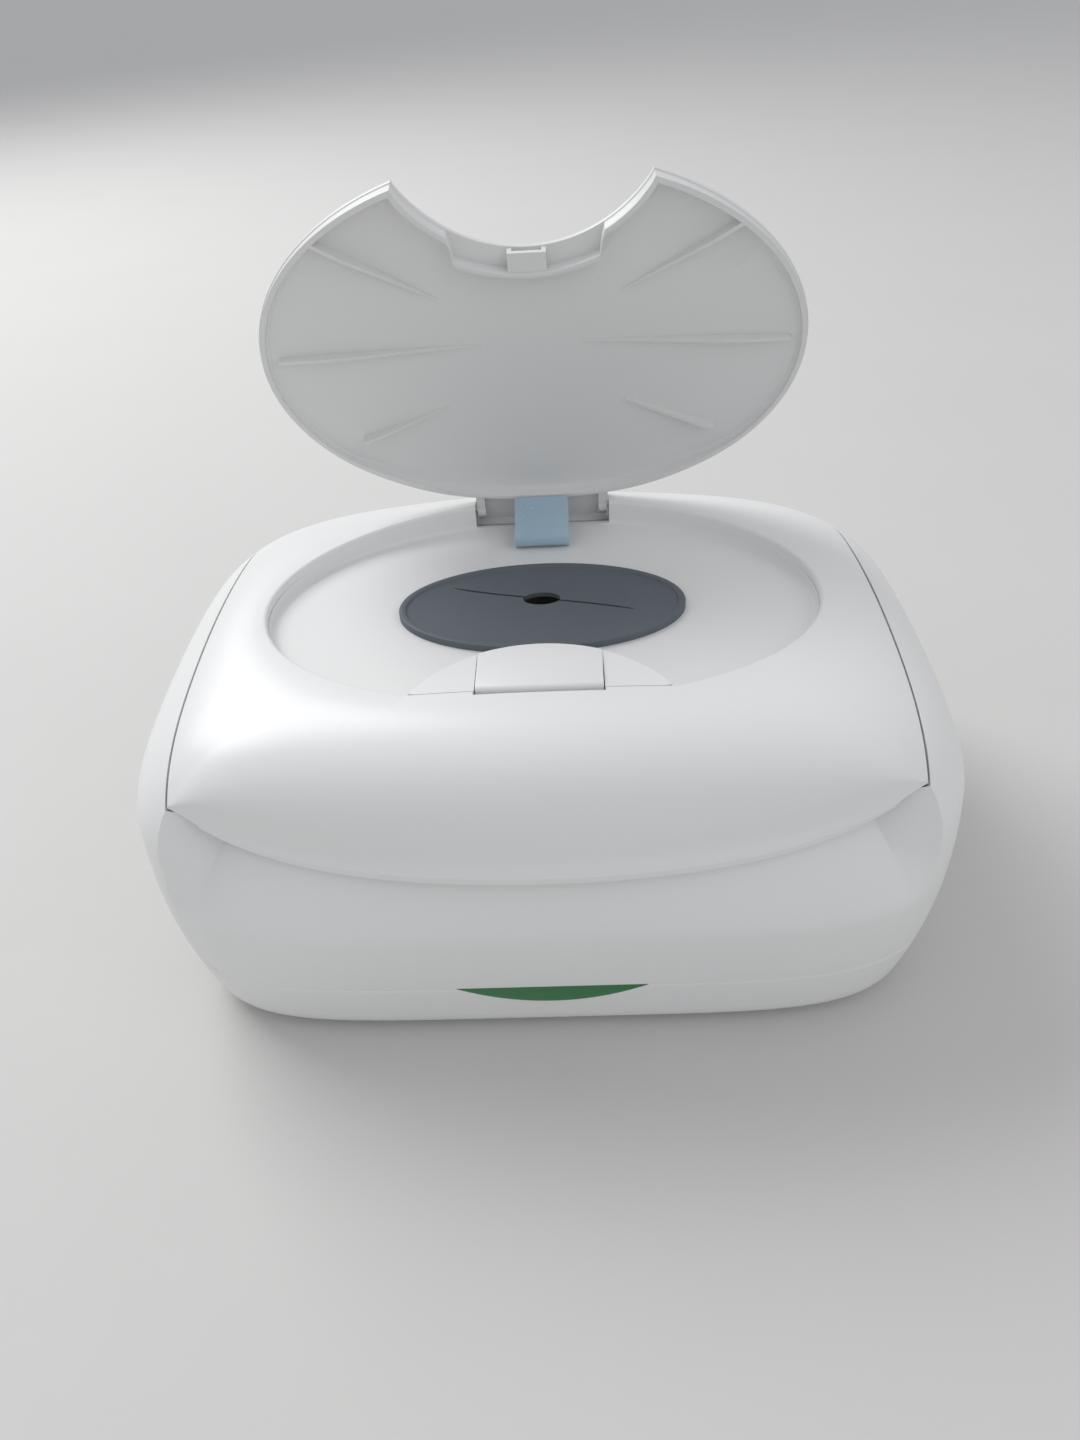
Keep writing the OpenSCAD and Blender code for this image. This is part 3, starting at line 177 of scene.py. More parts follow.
def skin(p):
    r = rho(p)
    safe = np.where(r[..., None] < 1e-6, np.array([1e-3, RECESS_CY]), p)
    e = rim(safe)
    return np.where(r <= 1, crown(p), roll_height(e, (r - 1) / (reach(e) - 1)))


def low_point(m, z, inset=0.0):
    v = np.clip((BULGE_Z - z) / BULGE_Z, 0, 1)
    w, d = BODY_HALF_W - SIDE_TAPER * v ** TAPER_P, BODY_HALF_D - FRONT_TAPER * v ** TAPER_P
    n = mix(BULGE_N, FOOT_N, v)
    u = m / np.array([BODY_HALF_W, BODY_HALF_D])
    s = (np.abs(u[..., 0]) ** n + np.abs(u[..., 1]) ** n) ** (-1 / n)
    return np.stack([(w - inset) * u[..., 0] * s, (d - inset) * u[..., 1] * s], axis=-1)


E = rim(O)
REACH = reach(E)
BULGE = ray(E, REACH)
CORNER_H = float(skin(np.array([LIP_HALF, lip_y(LIP_HALF)])))
print("corner of the lid at z", round(CORNER_H, 1), "mm")

# %% [markdown]
# The front edge of the lid flares out into a lip for the fingers. Its height falls from the corners to
# the middle, so the lip is a curve in space. The power in the mix keeps it level over most of its length.

# %% The rule of the lip
FLARE_W, FLARE_H = 2.6, 4.2


def lip_share(x):
    return (np.abs(x) / LIP_HALF) ** 4.5


def lip_z(x):
    return mix(LIP_Z, CORNER_H, lip_share(x))


X = O[:, 0]
NOSE_IN = FLARE_W * (1 - lip_share(X))
NOSE_PT = along(O, E, NOSE_IN)
NOSE_Z = lip_z(X) + FLARE_H * (1 - lip_share(X))
EDGE_Z = np.where(LIP, lip_z(X), skin(O))
SIDE_END = along(O, E, 0.4)
COVER_END = np.where(LIP[:, None], NOSE_PT, SIDE_END)


def cover_height(p):
    nose_t = (rho(p) - 1) / (rho(NOSE_PT) - 1)
    nose = mix(NOSE_Z, crown(E), quarter(nose_t))
    return np.where(LIP, mix(nose, skin(p), (np.abs(X) / LIP_HALF) ** 3), skin(p))


SWING_FROM, SWING_OVER = 38.2, 13.8


def swing(y, z, level, axis, gap):
    r = np.hypot(y - axis[0], z - axis[1]) - gap
    arc = axis[0] - np.sqrt(np.maximum(1, r ** 2 - np.maximum(0, level - axis[1]) ** 2))
    return mix(y, arc, np.clip((y - SWING_FROM) / SWING_OVER, 0, 1))


def lifted(p, z):
    return np.column_stack([p, np.broadcast_to(z, len(p))])


# %% [markdown]
# A mesh from rings: a grid whose columns close round the piece. Where the rows close too, it is a shell
# with a hole in the middle. Where they don't, flat caps shut its two ends. Normals are turned outwards
# once, while the mesh is still one closed skin.


# %% Mesh helpers
def new_object(name, mesh):
    ob = bpy.data.objects.new(name, mesh)
    bpy.context.scene.collection.objects.link(ob)
    return ob


def mesh_of(name, verts, faces):
    me = bpy.data.meshes.new(name)
    me.from_pydata([tuple(float(c) * MM for c in v) for v in verts], [], faces)
    bm = bmesh.new()
    bm.from_mesh(me)
    bmesh.ops.remove_doubles(bm, verts=bm.verts, dist=1e-6)
    bmesh.ops.recalc_face_normals(bm, faces=bm.faces)
    if bm.calc_volume(signed=True) < 0:
        bmesh.ops.reverse_faces(bm, faces=bm.faces)
    bm.to_mesh(me)
    bm.free()
    return me


def loft(name, rings, closed=True):
    n, rows = len(rings[0]), len(rings)
    verts = np.concatenate(rings)
    faces = []
    for a in range(rows if closed else rows - 1):
        b = (a + 1) % rows
        for i in range(n):
            j = (i + 1) % n
            faces.append((a * n + i, a * n + j, b * n + j, b * n + i))
    if not closed:
        faces.append(tuple(range(n)))
        faces.append(tuple(range((rows - 1) * n, rows * n)))
    return new_object(name, mesh_of(name, verts, faces))


def smooth(ob, angle=35):
    ob.data.shade_smooth()
    ob.data.set_sharp_from_angle(angle=math.radians(angle))
    return ob


def baked(ob):
    dg = bpy.context.evaluated_depsgraph_get()
    dg.update()
    me = bpy.data.meshes.new_from_object(ob.evaluated_get(dg))
    for m in list(ob.modifiers):
        ob.modifiers.remove(m)
    ob.data = me
    return ob


def cut(ob, *tools, mode="DIFFERENCE"):
    for tool in tools:
        m = ob.modifiers.new("cut", "BOOLEAN")
        m.operation, m.solver, m.object = mode, "MANIFOLD", tool
        baked(ob)
        bpy.data.objects.remove(tool)
    return ob


def prism_x(name, x0, x1, outline):
    n = len(outline)
    verts = [(x0, y, z) for y, z in outline] + [(x1, y, z) for y, z in outline]
    faces = [tuple(range(n)), tuple(range(n, 2 * n))]
    faces += [(i, (i + 1) % n, n + (i + 1) % n, n + i) for i in range(n)]
    return new_object(name, mesh_of(name, verts, faces))


def block(name, x0, x1, y0, y1, z0, z1):
    return prism_x(name, x0, x1, [(y0, z0), (y1, z0), (y1, z1), (y0, z1)])


def circle(u, v, r, n):
    turns = np.linspace(0, 2 * math.pi, n, endpoint=False)
    return [(u + r * math.cos(t), v + r * math.sin(t)) for t in turns]


def rod_x(name, x0, x1, y, z, r, n=96):
    return prism_x(name, x0, x1, circle(y, z, r, n))


def rod_z(name, x, y, r, z0, z1, n=64):
    ring = circle(x, y, r, n)
    return loft(name, [np.array([(a, b, z) for a, b in ring]) for z in (z0, z1)], closed=False)


def rod_y(name, x, z, r, y0, y1, n=64):
    ring = circle(x, z, r, n)
    return loft(name, [np.array([(a, y, b) for a, b in ring]) for y in (y0, y1)], closed=False)


def rounded(ob, width, segments=3, angle=35):
    m = ob.modifiers.new("edges", "BEVEL")
    m.width, m.segments, m.limit_method, m.angle_limit = width * MM, segments, "ANGLE", math.radians(angle)
    m.harden_normals = False
    return baked(ob)


# %% [markdown]
# The camera stands where the photograph was taken from: in front, a little to the right and well above.
# The place, the turn and the focal length come from a fit to the oval recess, the seams and the base.

# %% Camera
EYE = Vector((10.46, -277.92, 271.12)) * MM
RIGHT = Vector((0.9987, 0.0073, -0.0512)).normalized()
AHEAD = Vector((-0.0374, 0.7867, -0.6162)).normalized()
UP = RIGHT.cross(AHEAD).normalized()
RIGHT = AHEAD.cross(UP).normalized()
cam = bpy.data.cameras.new("camera")
cam.sensor_width = 36.0
cam.lens = 1026.99 / 1440.0 * 36.0
cam.clip_start, cam.clip_end = 0.01, 20.0
camera = bpy.data.objects.new("camera", cam)
bpy.context.scene.collection.objects.link(camera)
camera.matrix_world = Matrix.Translation(EYE) @ Matrix((RIGHT, UP, -AHEAD)).transposed().to_4x4()
bpy.context.scene.camera = camera
bpy.context.scene.view_settings.view_transform = "Standard"
print("camera lens", round(cam.lens, 2), "mm")

# %% [markdown]
# Light: a broad soft lamp from the left and behind, a weaker one from the right, and a pale world.
# In the photograph the top is bright, the front is in half shade and gets darker to the right.


# %% Floor and light
def soft_lamp(name, place, target, size, power):
    data = bpy.data.lights.new(name, "AREA")
    data.shape, data.size, data.energy = "SQUARE", size, power
    ob = bpy.data.objects.new(name, data)
    bpy.context.scene.collection.objects.link(ob)
    ob.location = place
    ob.rotation_euler = (Vector(target) - Vector(place)).to_track_quat("-Z", "Y").to_euler()
    return ob


MIDDLE = (0.0, 0.0, 0.08)
soft_lamp("window", (-1.1, 1.0, 1.5), MIDDLE, 1.2, 26.0)
soft_lamp("fill", (1.3, -0.9, 1.1), MIDDLE, 1.6, 4.0)
world = bpy.data.worlds.new("room")
bpy.context.scene.world = world
world.use_nodes = True
world.node_tree.nodes["Background"].inputs["Color"].default_value = (0.93, 0.95, 1.0, 1)
world.node_tree.nodes["Background"].inputs["Strength"].default_value = 0.62

floor_me = bpy.data.meshes.new("floor")
S = 14.0
floor_me.from_pydata([(-S, -S, 0), (S, -S, 0), (S, S, 0), (-S, S, 0)], [], [(0, 1, 2, 3)])
floor = new_object("floor", floor_me)
print("lamps and floor are in")

# %% [markdown]
# Finishes. Satin moulded plastic is never one flat colour: it has a faint mottle in its gloss, a slight
# warm or cool drift, fine dust and a few scuffs. One node group gives these as masks and colours, so all
# the white pieces share it with their own values. A photograph as texture would be quicker, but it would
# bake in the light of that room.


# %% Surface group: drift, dust and gloss mottle
def surface_group():
    g = bpy.data.node_groups.new("moulded_surface", "ShaderNodeTree")
    face = g.interface
    colour = face.new_socket("Colour", in_out="INPUT", socket_type="NodeSocketColor")
    colour.default_value = (0.8, 0.8, 0.8, 1)
    for name, value in (("Drift", 0.03), ("Dust", 0.0), ("Gloss", 0.35), ("Mottle", 0.08), ("Grain", 0.04)):
        face.new_socket(name, in_out="INPUT", socket_type="NodeSocketFloat").default_value = value
    face.new_socket("Base", in_out="OUTPUT", socket_type="NodeSocketColor")
    face.new_socket("Rough", in_out="OUTPUT", socket_type="NodeSocketFloat")
    face.new_socket("Height", in_out="OUTPUT", socket_type="NodeSocketFloat")
    nt, lk = g.nodes, g.links
    gi, go = nt.new("NodeGroupInput"), nt.new("NodeGroupOutput")
    tc = nt.new("ShaderNodeTexCoord")

    def noise(scale, detail):
        n = nt.new("ShaderNodeTexNoise")
        n.inputs["Scale"].default_value, n.inputs["Detail"].default_value = scale, detail
        lk.new(tc.outputs["Object"], n.inputs["Vector"])
        return n.outputs["Fac"]

    def math_node(op, a, b):
        n = nt.new("ShaderNodeMath")
        n.operation = op
        for k, v in ((0, a), (1, b)):
            if isinstance(v, (int, float)):
                n.inputs[k].default_value = v
            else:
                lk.new(v, n.inputs[k])
        return n.outputs[0]

    broad = math_node("SUBTRACT", noise(9.0, 3.0), 0.5)
    value = math_node("ADD", 1.0, math_node("MULTIPLY", broad, gi.outputs["Drift"]))
    specks = nt.new("ShaderNodeMapRange")
    specks.inputs["From Min"].default_value, specks.inputs["From Max"].default_value = 0.66, 0.78
    lk.new(noise(900.0, 2.0), specks.inputs["Value"])
    patch = nt.new("ShaderNodeMapRange")
    patch.inputs["From Min"].default_value, patch.inputs["From Max"].default_value = 0.5, 0.75
    lk.new(noise(28.0, 4.0), patch.inputs["Value"])
    dust = math_node("MULTIPLY", specks.outputs[0], patch.outputs[0])
    dust = math_node("MULTIPLY", dust, gi.outputs["Dust"])
    value = math_node("SUBTRACT", value, math_node("MULTIPLY", dust, 0.25))
    tint = nt.new("ShaderNodeVectorMath")
    tint.operation = "SCALE"
    lk.new(gi.outputs["Colour"], tint.inputs[0])
    lk.new(value, tint.inputs["Scale"])
    lk.new(tint.outputs[0], go.inputs["Base"])
    mottle = math_node("MULTIPLY", math_node("SUBTRACT", noise(60.0, 5.0), 0.5), gi.outputs["Mottle"])
    rough = math_node("ADD", gi.outputs["Gloss"], mottle)
    lk.new(math_node("ADD", rough, dust), go.inputs["Rough"])
    lk.new(math_node("MULTIPLY", noise(1600.0, 2.0), gi.outputs["Grain"]), go.inputs["Height"])
    return g


SURFACE = surface_group()


def finish(name, colour, gloss=0.35, drift=0.03, dust=0.2, mottle=0.08, grain=0.3, bump=0.02, **sockets):
    """A material of the surface group. Further sockets of the shader are given by name."""
    m = bpy.data.materials.new(name)
    m.use_nodes = True
    nt = m.node_tree
    bsdf = nt.nodes["Principled BSDF"]
    g = nt.nodes.new("ShaderNodeGroup")
    g.node_tree = SURFACE
    values = {"Colour": (*colour, 1), "Drift": drift, "Dust": dust, "Gloss": gloss, "Mottle": mottle,
              "Grain": grain}
    for k, v in values.items():
        g.inputs[k].default_value = v
    nt.links.new(g.outputs["Base"], bsdf.inputs["Base Color"])
    nt.links.new(g.outputs["Rough"], bsdf.inputs["Roughness"])
    b = nt.nodes.new("ShaderNodeBump")
    b.inputs["Strength"].default_value, b.inputs["Distance"].default_value = bump, 0.0005
    nt.links.new(g.outputs["Height"], b.inputs["Height"])
    nt.links.new(b.outputs["Normal"], bsdf.inputs["Normal"])
    for k, v in sockets.items():
        bsdf.inputs[k.replace("_", " ")].default_value = v
    return m


WHITE = (0.80, 0.80, 0.785)
shell_white = finish("shell_white", WHITE)
lid_white = finish("lid_white", WHITE, gloss=0.32)
inner_white = finish("inner_white", (0.74, 0.74, 0.725), gloss=0.42)
liner_grey = finish("liner_grey", (0.66, 0.67, 0.67), gloss=0.45)
slate_rubber = finish("slate_rubber", (0.105, 0.122, 0.14), gloss=0.55, drift=0.3, dust=0.9, mottle=0.2,
                      grain=1.0, bump=0.15)
gasket_rubber = finish("gasket_rubber", (0.2, 0.21, 0.22), gloss=0.6, grain=1.0, bump=0.1)
foot_rubber = finish("foot_rubber", (0.12, 0.12, 0.125), gloss=0.65, grain=1.0, bump=0.2)
steel = finish("steel", (0.6, 0.61, 0.62), gloss=0.3, dust=0.0, Metallic=1.0)
tin = finish("tin", (0.72, 0.73, 0.74), gloss=0.4, dust=0.0, Metallic=1.0)
brass = finish("brass", (0.72, 0.56, 0.3), gloss=0.32, dust=0.0, Metallic=1.0)
copper = finish("copper", (0.55, 0.3, 0.18), gloss=0.4, dust=0.0, Metallic=1.0)
black_plastic = finish("black_plastic", (0.02, 0.02, 0.022), gloss=0.45)
board_green = finish("board_green", (0.02, 0.14, 0.06), gloss=0.3, drift=0.15)
lens_green = finish("lens_green", (0.012, 0.16, 0.035), gloss=0.16, dust=0.1, mottle=0.03, Coat_Weight=0.6)
strap_blue = finish("strap_blue", (0.5, 0.66, 0.78), gloss=0.25, dust=0.1, Transmission_Weight=0.25,
                    Subsurface_Weight=0.15)
wool = finish("wool", (0.6, 0.57, 0.4), gloss=0.8, drift=0.3, grain=1.0, bump=0.4)
pad_cloth = finish("pad_cloth", (0.62, 0.72, 0.8), gloss=0.8, drift=0.15, grain=1.0, bump=0.4)
led_clear = finish("led_clear", (0.6, 0.9, 0.65), gloss=0.1, dust=0.0)
fuse_tan = finish("fuse_tan", (0.7, 0.6, 0.35), gloss=0.4)
pale_floor = finish("pale_floor", (0.62, 0.61, 0.59), gloss=0.7, drift=0.04, dust=0.0, grain=0.2)
floor.data.materials.append(pale_floor)
print("finishes:", len(bpy.data.materials))


def place(ob, body, *nodes, finish=None, slot=None):
    if finish:
        ob.data.materials.clear()
        ob.data.materials.append(finish)
    if nodes:
        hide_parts(*nodes)
    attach(ob, body)
    return ob


# %% [markdown]
# The lid cover is one skin. Its profile runs from the seal's hole over the recess floor, up the wall,
# over the rim and the roll, and ends at the lip in front or at the seam on the other sides. Extra rings
# stand close together where an edge is rounded, so the highlights run along the edges as on a moulding.

# %% Rings of the lid cover
SEAL_A, SEAL_B, SEAL_CY = 46.0, 25.5, 4.5
HOLE_A, HOLE_B = SEAL_A - 5, SEAL_B - 5
CHORD_Y = -51.0
U = (O - np.array([0, RECESS_CY])) / np.array([RECESS_A, RECESS_B])
U = U / np.linalg.norm(U, axis=1, keepdims=True)
CENTRE = np.array([0.0, RECESS_CY])


def chord_clip(p):
    return np.column_stack([p[:, 0], np.maximum(p[:, 1], CHORD_Y)])


def hole_ring(a, b, z):
    return np.column_stack([a * U[:, 0], SEAL_CY + b * U[:, 1], np.full(N, z)])


def recess_ring(inset, z):
    p = chord_clip(along(E, CENTRE, inset))
    p[:, 1] += np.where(p[:, 1] <= CHORD_Y, inset * 0.4, 0)
    return lifted(p, z)


def rim_ring(inset, down):
    p = chord_clip(along(E, CENTRE, inset))
    return lifted(p, crown(p) - down)


def cover_ring(f):
    p = mix(chord_clip(E), COVER_END, f)
    return lifted(p, cover_height(p))


def edge_ring(down, inset):
    tuck = 1 - np.minimum(1, lip_share(X)) ** 2
    corner_in = 0.3 + min(inset, 0.3) + min(down, 0.4) * 4
    p = along(O, E, np.where(LIP, inset * tuck, np.where(FRONT, corner_in, inset)))
    z = np.where(FRONT, EDGE_Z - down * 2 * np.maximum(0.15, tuck), mix(EDGE_Z - 0.4, SKIRT_Z, down))
    y = np.where(FRONT, p[:, 1], np.minimum(p[:, 1], swing(O[:, 1], EDGE_Z, z, LID_AXIS, -inset)))
    return straight_to_corner(np.column_stack([p[:, 0], y, z]))


def flare_ring(f):
    start = lifted(NOSE_PT, NOSE_Z)
    end = lifted(along(O, E, 0.25), EDGE_Z + 0.45)
    knee = lifted(along(O, E, NOSE_IN * 0.86), mix(EDGE_Z, NOSE_Z, 0.3))
    curve = (1 - f) ** 2 * start + 2 * f * (1 - f) * knee + f ** 2 * end
    side = mix(lifted(SIDE_END, skin(SIDE_END)), lifted(along(O, E, 0.12), skin(O) - 0.12), f)
    return straight_to_corner(np.where(LIP[:, None], curve, side), (-1,))


inset_end = np.where(LIP, NOSE_IN + 2 + 3 * lip_share(X), np.where(FRONT, 7, 3))
UNDER_END = O + (E - O) * (inset_end / np.linalg.norm(E - O, axis=1))[:, None]
under_swing = swing(O[:, 1], EDGE_Z, EDGE_Z - 4, LID_AXIS, -3)
UNDER_END[:, 1] = np.where(LIP, UNDER_END[:, 1], np.minimum(UNDER_END[:, 1], under_swing))
UNDER_END = straight_to_corner(UNDER_END)


def under_ring(f):
    a = along(chord_clip(E), CENTRE, -1.6)
    p = mix(a, UNDER_END, f)
    return lifted(p, cover_height(p) - SKIN)


fillet = [(3.2, 0.0), (2.5, 0.08), (1.9, 0.3), (1.4, 0.7), (1.05, 1.3), (0.9, 3.2)]
lip_round = [(0.62, 2.6), (0.5, 1.0), (0.36, 0.62), (0.1, 0.3), (-0.28, 0.07), (-0.8, 0.0)]
rows = [hole_ring(HOLE_A, HOLE_B, FLOOR_Z), hole_ring(HOLE_A + 8, HOLE_B + 8, FLOOR_Z)]
rows += [recess_ring(i, FLOOR_Z + z) for i, z in fillet]
rows += [rim_ring(i, d) for i, d in lip_round]
rows += [cover_ring(f) for f in 1 - (1 - np.linspace(0.1, 1, 30)) ** 1.7]
rows += [flare_ring(f) for f in (0.15, 0.3, 0.45, 0.6, 0.75, 0.88, 1.0)]
edge_round = [(0, 0), (0.03, 0), (0.08, 0.02), (0.16, 0.04), (0.28, 0.05), (0.5, 0.05), (1, 0.1)]
rows += [edge_ring(d, i) for d, i in edge_round]
rows += [edge_ring(0.98, 2.4), under_ring(1), under_ring(0.8), under_ring(0.5), under_ring(0.15)]
rows += [recess_ring(-1.2, FLOOR_Z + 2), recess_ring(-0.6, FLOOR_Z - SKIN + 0.2)]
rows += [hole_ring(HOLE_A, HOLE_B, FLOOR_Z - SKIN)]
lid_cover = loft("lid_cover_skin", rows)
print("lid cover faces:", len(lid_cover.data.polygons))

# %% [markdown]
# The hinge pocket of the flip lid, the well of the button and the two arms of the big hinge are cut from or
# joined to the lofted skin. On the real lid they are pockets and ribs of the same moulding, so one mesh
# holds them all. A hidden trough under the pocket gives the flip lid's knuckle room to turn.

# %% Pocket, button well and hinge arms of the lid cover
POCKET_HALF, POCKET_BACK = 24.2, 5.4
TROUGH_R, TROUGH_WALL = 6.3, 1.8
RIM_BACK = RECESS_CY + RECESS_B
BUTTON_HALF, ISLAND_R, ISLAND_Y = 17.8, 43.0, -29.6
ISLAND_CY = ISLAND_Y - ISLAND_R
FY, FZ = FLIP_AXIS
cut(lid_cover, rod_x("t", -POCKET_HALF, POCKET_HALF, FY, FZ, TROUGH_R),
    block("t", -POCKET_HALF, POCKET_HALF, FY - TROUGH_R, FY + POCKET_BACK, FLOOR_Z + 0.01, CROWN_Z + 5))
ROOF = [(30, CROWN_Z - 2.4), (RIM_BACK + 4.5, CROWN_Z - 2.8), (RIM_BACK + 9.5, CROWN_Z - 4.2),
        (RIM_BACK + 15.5, CROWN_Z - 8.2), (100, CROWN_Z - 8.2), (100, 130), (30, 130)]
TROUGH_FRONT = FY - math.sqrt(TROUGH_R ** 2 - (FZ - FLOOR_Z) ** 2)
LY, LZ = LID_AXIS
rear_swing = math.hypot(1, float(crown(np.array([0.0, REAR_SEAM]))) - LZ) + 0.3
trough = rod_x("t", -POCKET_HALF - 2.2, POCKET_HALF + 2.2, FY, FZ, TROUGH_R + TROUGH_WALL)
cut(trough, rod_x("t", -POCKET_HALF, POCKET_HALF, FY, FZ, TROUGH_R),
    rod_x("t", -60, 60, LY, LZ, rear_swing),
    prism_x("t", -60, 60, ROOF),
    block("t", -60, 60, 50, TROUGH_FRONT + 0.05, FLOOR_Z, 130))
cut(lid_cover, trough, mode="UNION")
cut(lid_cover, block("t", -BUTTON_HALF - 0.5, BUTTON_HALF + 0.5, CHORD_Y - 1.4, ISLAND_Y - 1.6, 80, 120))
HINGE_X0, HINGE_X1, BARREL_R, PIN_HOLE_R = 48.0, 72.0, 3.2, 1.58
ARM = [(LY - 14.4, 77), (LY - 14.4, 81.2), (LY - 12, 81.4), (LY - 3, LZ - 0.5), (LY, LZ), (LY + 1, LZ - 3),
       (LY - 5, 79), (LY - 11, 77)]
for s in (-1, 1):
    x0, x1 = sorted((s * (HINGE_X0 + 0.4), s * (HINGE_X1 - 0.4)))
    arm = prism_x("t", x0, x1, ARM)
    cut(arm, rod_x("t", x0, x1, LY, LZ, BARREL_R), mode="UNION")
    cut(arm, rod_x("t", x0 - 5.4, x1 + 5.4, LY, LZ, PIN_HOLE_R))
    cut(lid_cover, arm, mode="UNION")
smooth(lid_cover, 32)
place(lid_cover, "lid", "lid_cover", finish=lid_white)
print("lid cover after cuts:", len(lid_cover.data.polygons))

# %% [markdown]
# The housing is the deep middle shell. Its side panels stand proud of the scooped front wall, which
# leaves a groove for the fingers under the lip. Its top edge follows the lid's seam with an even gap.

# %% Rings of the housing
EDGE_OUT = along(O, E, -SEAM_GAP)
WALL_TOP = lip_z(X) + 4.6 - 25 * np.minimum(1, lip_share(X)) ** 3
BEHIND = 7.8 + 2 * (X / LIP_HALF) ** 2


SCOOP_Z = 46


def scoop(z, o, m, top, behind):
    """How far the front wall lies behind the widest line, at height z."""
    u = np.clip((z - SCOOP_Z) / (top - SCOOP_Z), 0, 1)
    return u ** 1.4 * (np.linalg.norm(m - o, axis=-1) + behind)


def front_point(z, inset):
    d = scoop(z, O, BULGE, WALL_TOP, BEHIND) + inset
    p = low_point(BULGE, np.minimum(z, BULGE_Z))
    return p + (E - p) * (d / np.linalg.norm(E - p, axis=1))[:, None]


T1 = (rho(EDGE_OUT) - 1) / (REACH - 1)


def roll_point(s):
    t = mix(1, T1, s)
    return lifted(ray(E, 1 + t * (REACH - 1)), roll_height(E, t))


def blend_corner(lip_rows, side_rows, sides=(-1,)):
    """Columns of the lip take the first rows and all others the second, straight near a corner."""
    return straight_to_corner(np.where(LIP[:, None], lip_rows, side_rows), sides)


def outer_ring(z):
    zz = np.full(N, float(z))
    return blend_corner(lifted(front_point(zz, 0), zz), lifted(low_point(BULGE, zz), zz))


def roll_ring(s):
    z = mix(BULGE_Z, WALL_TOP, s)
    return blend_corner(lifted(front_point(z, 0), z), roll_point(s))


def return_ring(f, inset=0.0):
    zq = skin(EDGE_OUT)
    z = mix(zq, DECK_Z, f)
    zf = mix(WALL_TOP, DECK_Z, f)
    q = along(EDGE_OUT, E, np.where(FRONT & ~LIP, min(1, 8 * f), 0))
    y = np.where(FRONT, q[:, 1], swing(q[:, 1], zq, z, LID_AXIS, 0.2 * min(1, 4 * f)))
    lip_rows = lifted(front_point(zf, WALL - inset), zf)
    return blend_corner(lip_rows, np.column_stack([q[:, 0], y, z]), (-1, 1))


def super_ring(a, b, n, z):
    u = O / np.array([a, b])
    s = (np.abs(u[:, 0]) ** n + np.abs(u[:, 1]) ** n) ** (-1 / n)
    return np.column_stack([a * u[:, 0] * s, b * u[:, 1] * s, np.full(N, z)])


def wedge(k):
    z = np.full(N, DECK_Z - WALL - 1.5 - k)
    side = low_point(BULGE, BULGE_Z, WALL + (z - BULGE_Z) * 0.12)
    return blend_corner(lifted(front_point(z, WALL), z), lifted(side, z))


def under_deck(z, out, k):
    q = EDGE_OUT.copy()
    q[:, 1] = swing(EDGE_OUT[:, 1], skin(EDGE_OUT), np.full(N, z), LID_AXIS, 0.2)
    return straight_to_corner(np.where(FRONT[:, None], wedge(k), lifted(along(q, CENTRE, -out), z)))


def inner_roll(s, k):
    q = roll_point(s)
    side = lifted(along(q[:, :2], E, WALL), q[:, 2] - WALL * s)
    return straight_to_corner(np.where(FRONT[:, None], wedge(k), side))


def inner_ring(z):
    zz = np.full(N, float(z))
    return blend_corner(lifted(front_point(zz, WALL), zz), lifted(low_point(BULGE, zz, WALL), zz))


DECK_HOLE = (95, 62, 6)
rows = [lifted(low_point(BULGE, PART_Z, 0.35), PART_Z), outer_ring(PART_Z + 0.12), outer_ring(PART_Z + 0.45)]
rows += [outer_ring(z) for z in (26, 29, 33, 37, 41, 44, 46, 48, 50, 52, 54, 56, 58, 60, 61)]
rows += [roll_ring(s) for s in np.linspace(0, 0.98, 26)]
rows += [roll_ring(0.995), return_ring(0.004, 1.9), return_ring(0.02, 1.0), return_ring(0.05, 0.4)]
rows += [return_ring(f) for f in (0.12, 0.35, 0.7, 1)]
rows += [super_ring(*DECK_HOLE, z) for z in (DECK_Z, DECK_Z - WALL)]
rows += [under_deck(DECK_Z - WALL, 2, 0), under_deck(DECK_Z + 8, 2.6, 0.8)]
rows += [inner_roll(0.5, 1.6), inner_roll(0.1, 2.4)]
rows += [inner_ring(z) for z in (55, SCOOP_Z, PART_Z)]
housing = loft("housing_shell", rows)
print("housing faces:", len(housing.data.polygons))

# %% [markdown]
# The big hinge hides in the rear rail. A slot gives each arm of the lid room for its swing, and a cheek at
# each end of the slot holds the pin.

# %% Hinge slots and cheeks of the housing
SLOT_R = 15
for s in (-1, 1):
    x0, x1 = sorted((s * HINGE_X0, s * HINGE_X1))
    swing_arc = np.radians(np.linspace(98, 232, 25))
    swept = [(LY + SLOT_R * math.cos(t), LZ + SLOT_R * math.sin(t)) for t in swing_arc]
    sector = [(LY, LZ)] + swept + [(LY + 0.5, LZ - 4.4)]
    cut(housing, rod_x("t", x0 - 6, x1 + 6, LY, LZ, BARREL_R + 0.6), mode="UNION")
    cut(housing, prism_x("t", x0, x1, sector), rod_x("t", x0, x1, LY, LZ, BARREL_R + 0.7),
        rod_x("t", x0 - 5, x1 + 5, LY, LZ, 1.5))
smooth(housing, 32)
place(housing, "base", "housing", finish=shell_white)
print("housing after cuts:", len(housing.data.polygons))

# %% [markdown]
# The base pan closes the box from below. A narrow chamfer on it and on the housing makes the parting
# line, which shows in the photograph as a fine shadow all round.

# %% Base pan


def pan_ring(z, inset):
    return lifted(low_point(BULGE, z, inset), z)


